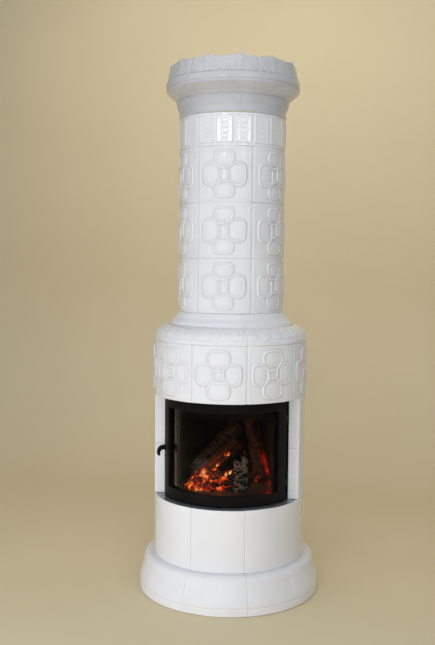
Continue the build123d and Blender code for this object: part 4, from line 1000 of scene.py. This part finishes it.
# Places that burn, in millimetres: x, y, z and how far the heat reaches; then how hot it is.
BURNING = (
    (-150, -160, 455, 18, 1.1), (-128, -172, 448, 18, 1.5), (-108, -184, 441, 17, 1.6),
    (-92, -192, 437, 16, 1.5), (-98, -170, 455, 16, 1.2), (-84, -128, 498, 22, 1.4),
    (-74, -145, 482, 22, 1.4), (8, -130, 495, 22, 1.4), (-7, -148, 482, 18, 1.2),
    (-11, -185, 447, 20, 1.1), (-45, -189, 440, 16, 1.1), (-50, -160, 465, 14, 0.7),
    (0, -34, 554, 11, 1.2), (-10, -41, 547, 11, 1.0), (-23, -47, 543, 10, 0.85),
    (-36, -55, 534, 10, 0.8), (-50, -64, 524, 10, 0.75), (-40, -70, 514, 10, 1.1),
    (-105, -85, 490, 24, 0.75), (-80, -90, 500, 18, 0.6), (-125, -95, 470, 24, 0.7),
    (126, -60, 447, 24, 0.85), (108, -30, 475, 24, 0.7), (145, -45, 450, 20, 0.8),
)
# Flames, in millimetres: x, y and z of the foot, and height; then the lean in degrees.
FLAMES = (
    (-86, -134, 486, 40, 8), (-76, -150, 470, 40, -6), (6, -138, 484, 34, 10), (0, -46, 545, 24, 20),
    (-41, -80, 506, 22, 25), (20, -128, 490, 30, 15), (-100, -140, 472, 30, 14),
)
EMBERS = 330
GOLDEN_ANGLE = 2.399963


def warmth(points):
    """Heat at each place, from 0 to 1."""
    heat = np.zeros(len(points))
    for *place, near, hot in BURNING:
        away = np.linalg.norm(points - np.divide(place, 1000), axis=1)
        heat = np.maximum(heat, hot * np.exp(-(1000 * away / near) ** 2))
    return heat


def log_points(width, length, seed, shard):
    """Split log along z, as rows of loops: its rough outline, and how much of it is bark."""
    arc = [(width / 2 * math.cos(a), -0.6 * width * math.sin(a)) for a in np.linspace(math.pi, 0, 30)]
    outline = resampled(np.array([*arc, (width * 0.1, width * 0.4), arc[0]]), 0.003)[:-1]
    rows = round(length / LOG_STEP) + 1
    points = np.empty((rows, len(outline), 3))
    for row, z in enumerate(np.linspace(0, length, rows)):
        torn = max(0, (z - length + TORN_END) / TORN_END)
        for place, (x, y) in enumerate(outline):
            swell = noise.fractal(Vector((x * 60 + seed, y * 60, z * 16)), 0.9, 2.1, 4)
            crack = abs(noise.noise(Vector((x * 190, y * 190 + seed, z * 24))))
            out = Vector((x, y)).normalized() * LOG_ROUGH * (0.6 * swell - 1.4 * crack + 0.2)
            fall = 0.007 * (noise.noise(Vector((x * 110, y * 110, seed))) - 0.4) * torn
            fall += shard * math.exp(-((x - 0.020) ** 2 + (y + 0.027) ** 2) / 0.0060 ** 2) * torn ** 3
            points[row, place] = (x + out.x, y + out.y, z + fall)
    bark = np.broadcast_to(ramp(-outline[:, 1], -0.002, 0.003), points.shape[:2])
    return points, bark.ravel()


def firewood():
    """Four split logs, each turned, leant and set down in its place."""
    birch = log_look("birch_log", (0.42, 0.37, 0.32), (0.13, 0.10, 0.085), (0.30, 0.20, 0.12), 0.465)
    for number, (name, sizes) in enumerate(LOGS.items()):
        width, length, spin, lean, heading, foot_x, back_y = sizes
        look, shard = (birch, BIRCH_SHARD) if name == "log_birch" else (log_wood, 0.0)
        points, bark = log_points(width - 0.002, length, 7.0 * number, shard)
        grain = points.reshape(-1, 3)
        placed = grain
        for degrees, axis in ((spin, "Z"), (-lean, "X"), (-heading, "Z")):
            placed = placed @ np.array(Matrix.Rotation(math.radians(degrees), 3, axis)).T
        back, foot = placed[:, 1].max(), placed[:, 2].min()
        placed = placed + (foot_x, back_y - 0.0006 - back, HEARTH_TOP + 0.0003 - foot)
        log, faces = Heap(), tube(*points.shape[:2], turned=True)
        log.take(placed, faces, grain=grain + (number, 0, 0), bark=bark, warmth=warmth(placed))
        log.show(name, look, "log_wood", "firewood", sharp=60)


def embers():
    """Heap of charcoal pieces that climbs towards the logs behind it."""
    shape = bmesh.new()
    bmesh.ops.create_icosphere(shape, subdivisions=2, radius=1.0)
    ball = np.array([v.co[:] for v in shape.verts])
    sides = [[v.index for v in face.verts] for face in shape.faces]
    shape.free()
    low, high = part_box("ember_bed")
    middle = (low + high) / 2
    half = (high - low) / 2
    pile = Heap()
    for number in range(EMBERS):
        away = math.sqrt((number + 0.5) / EMBERS)
        turn = number * GOLDEN_ANGLE
        size = rng.uniform(0.006, 0.013) * (1.15 - 0.35 * away)
        across, back = away * math.cos(turn), away * math.sin(turn)
        x = middle.x - 0.008 + (half.x + 0.006) * across
        y = middle.y + (half.y - size * 0.4) * back + 0.008 * (1 + back)
        heap = 0.006 + 0.068 * (0.5 + 0.5 * back) ** 1.3 * (1 - abs(across) ** 3)
        z = HEARTH_TOP + size * 0.6 + heap * rng.uniform(0.35, 1.0)
        seed = Vector(rng.uniform(0, 50, 3))
        dents = np.array([noise.noise(Vector(p) * 1.3 + seed) for p in ball])
        blob = np.clip(ball * (1 + 0.6 * dents)[:, None], -0.62, 0.62)
        blob = blob * (rng.uniform(1.1, 2.6), rng.uniform(0.6, 1.1), rng.uniform(0.6, 1.1)) * size
        tip = Matrix.Rotation(rng.uniform(-1.1, 1.1), 3, "Y")
        blob = blob @ np.array(tip @ Matrix.Rotation(rng.uniform(-0.9, 0.9), 3, "Z")).T + (x, y, z)
        blob[:, 2] = np.maximum(blob[:, 2], HEARTH_TOP + 0.0002)
        least = 0.78 - 0.18 * away + rng.uniform(-0.40, 0.22)
        pile.take(blob, sides, warmth=np.maximum(warmth(blob), least))
    pile.show("ember_pile", slot_looks["embers"], "embers", "ember_bed", sharp=30)


def flames():
    """Small tongues of flame over the hottest embers and along the burning log."""
    tongues = Heap()
    rows, loop = 20, 12
    share = np.linspace(0, 1, rows)[:, None]
    turn = np.linspace(0, 2 * np.pi, loop, endpoint=False)[None, :]
    for number, (*place, lean) in enumerate(FLAMES):
        x, y, z, height = np.divide(place, 1000)
        width = 0.17 * height * np.sin(np.pi * np.clip(share, 0.02, 0.995) ** 0.62) ** 0.9 + 0.0002
        sway = 0.004 * share ** 1.5 * np.sin(4.5 * share + number)
        sway = sway + math.tan(math.radians(lean)) * height * share
        px = x + sway + width * np.cos(turn)
        py = y + 0.5 * width * np.sin(turn)
        pz = z + height * share + 0 * turn
        points = np.stack([px, py, pz], -1).reshape(-1, 3)
        heat = np.repeat(1 - share[:, 0] ** 1.2, loop)
        tongues.take(points, tube(rows, loop, turned=True), warmth=heat)
    tongues.show("flames", flame_look(), "embers", sharp=180)


firewood()
embers()
flames()


# ---- studio ----
def backdrop():
    """Plain floor that curves up into a plain wall."""
    start, back, radius, width, height = -7.0, 2.6, 1.2, 7.0, 4.5
    line = [(start, 0.0), (back - radius, 0.0)]
    for share in np.linspace(0, math.pi / 2, 14)[1:]:
        line.append((back - radius + radius * math.sin(share), radius - radius * math.cos(share)))
    line.append((back, height))
    mesh = bpy.data.meshes.new("studio_floor")
    points = [(side * width, y, z - 0.0002) for y, z in line for side in (-1, 1)]
    faces = [(2 * k, 2 * k + 1, 2 * k + 3, 2 * k + 2) for k in range(len(line) - 1)]
    mesh.from_pydata(points, [], faces)
    mesh.shade_smooth()
    mesh.materials.append(floor_look())
    floor = added("studio_floor", mesh)


def lamp(name, place, target, size, power, colour=(1, 1, 1), mirrored=False):
    """Rectangular soft light that faces a target; a mirrored one also shows in glossy surfaces."""
    data = bpy.data.lights.new(name, "AREA")
    data.shape = "RECTANGLE"
    data.size, data.size_y = size
    data.energy = power
    data.color = colour
    light = added(name, data)
    light.location = place
    light.rotation_euler = (Vector(target) - Vector(place)).to_track_quat("-Z", "Y").to_euler()
    light.visible_glossy = mirrored


def glow(name, place, power, colour, radius=0.03):
    """Small round light inside the fire."""
    data = bpy.data.lights.new(name, "POINT")
    data.energy = power
    data.color = colour
    data.shadow_soft_size = radius
    added(name, data).location = place


def world():
    """Even soft surrounding light."""
    made = bpy.data.worlds.new("studio")
    made.use_nodes = True
    ground = made.node_tree.nodes["Background"]
    ground.inputs["Color"].default_value = (0.91, 0.94, 1.0, 1)
    ground.inputs["Strength"].default_value = 0.26
    bpy.context.scene.world = made


# The camera stands to the right of the front, a little over half the stove's height.
CAMERA_AZIMUTH = math.radians(8.2)
CAMERA_AWAY = 3.466
CAMERA_HEIGHT = 1.332
CAMERA_PITCH = math.radians(3.94)
CAMERA_YAW = math.radians(-0.90)
CAMERA_ROLL = math.radians(0.52)
CAMERA_LENS = 47.0


def camera():
    """Camera at the photograph's place, turned by its yaw, pitch and roll."""
    turn = Matrix.Rotation(CAMERA_AZIMUTH, 4, "Z")
    place = Matrix.Translation((0, -CAMERA_AWAY, CAMERA_HEIGHT))
    aim = Matrix.Rotation(-CAMERA_YAW, 4, "Z") @ Matrix.Rotation(math.pi / 2 - CAMERA_PITCH, 4, "X")
    data = bpy.data.cameras.new("camera")
    data.lens = CAMERA_LENS
    data.sensor_width = 36.0
    data.clip_start, data.clip_end = 0.05, 50
    made = added("camera", data)
    made.matrix_world = turn @ place @ aim @ Matrix.Rotation(CAMERA_ROLL, 4, "Z")
    bpy.context.scene.camera = made


backdrop()
world()
lamp("front", (0.1, -2.6, 0.75), (0, 0, 0.75), (1.6, 1.0), 15, (0.93, 0.96, 1.0))
lamp("left", (-1.7, -2.1, 0.35), (0, 0, 0.20), (0.9, 0.6), 27, (0.87, 0.91, 1.0))
lamp("right", (1.9, -2.2, 1.5), (0, 0, 1.35), (1.0, 1.2), 12, (0.86, 0.92, 1.0))
lamp("ceiling", (0, -1.5, 3.3), (0, 0, 0.7), (1.3, 0.9), 20, (0.97, 0.98, 1.0))
lamp("wall", (0, 0.8, 3.6), (0, 2.6, 1.2), (3.0, 0.5), 31, (1.0, 0.98, 0.95))
lamp("window_left", (-0.50, -3.45, 2.37), (0, 0, 1.85), (0.42, 0.34), 4.2, (1, 1, 1), True)
lamp("window_right", (1.85, -2.97, 2.37), (0, 0, 1.85), (0.30, 0.34), 2.2, (1, 1, 1), True)
lamp("strip_left", (-3.0, 0.0, 0.7), (0, 0, 0.7), (0.22, 1.6), 0.5, (1, 1, 1), True)
lamp("strip_right", (3.0, 0.2, 0.7), (0, 0, 0.7), (0.22, 1.6), 1.2, (1, 1, 1), True)
glow("fire_low", (-0.03, -0.15, HEARTH_TOP + 0.10), 0.26, (1.0, 0.33, 0.10))
glow("fire_right", (0.168, -0.015, HEARTH_TOP + 0.05), 0.20, (1.0, 0.04, 0.02), 0.012)
glow("fire_right_high", (0.166, 0.0, HEARTH_TOP + 0.10), 0.09, (1.0, 0.04, 0.02), 0.012)
camera()
bpy.context.scene.view_settings.view_transform = "Standard"
bpy.context.scene.view_settings.look = "None"
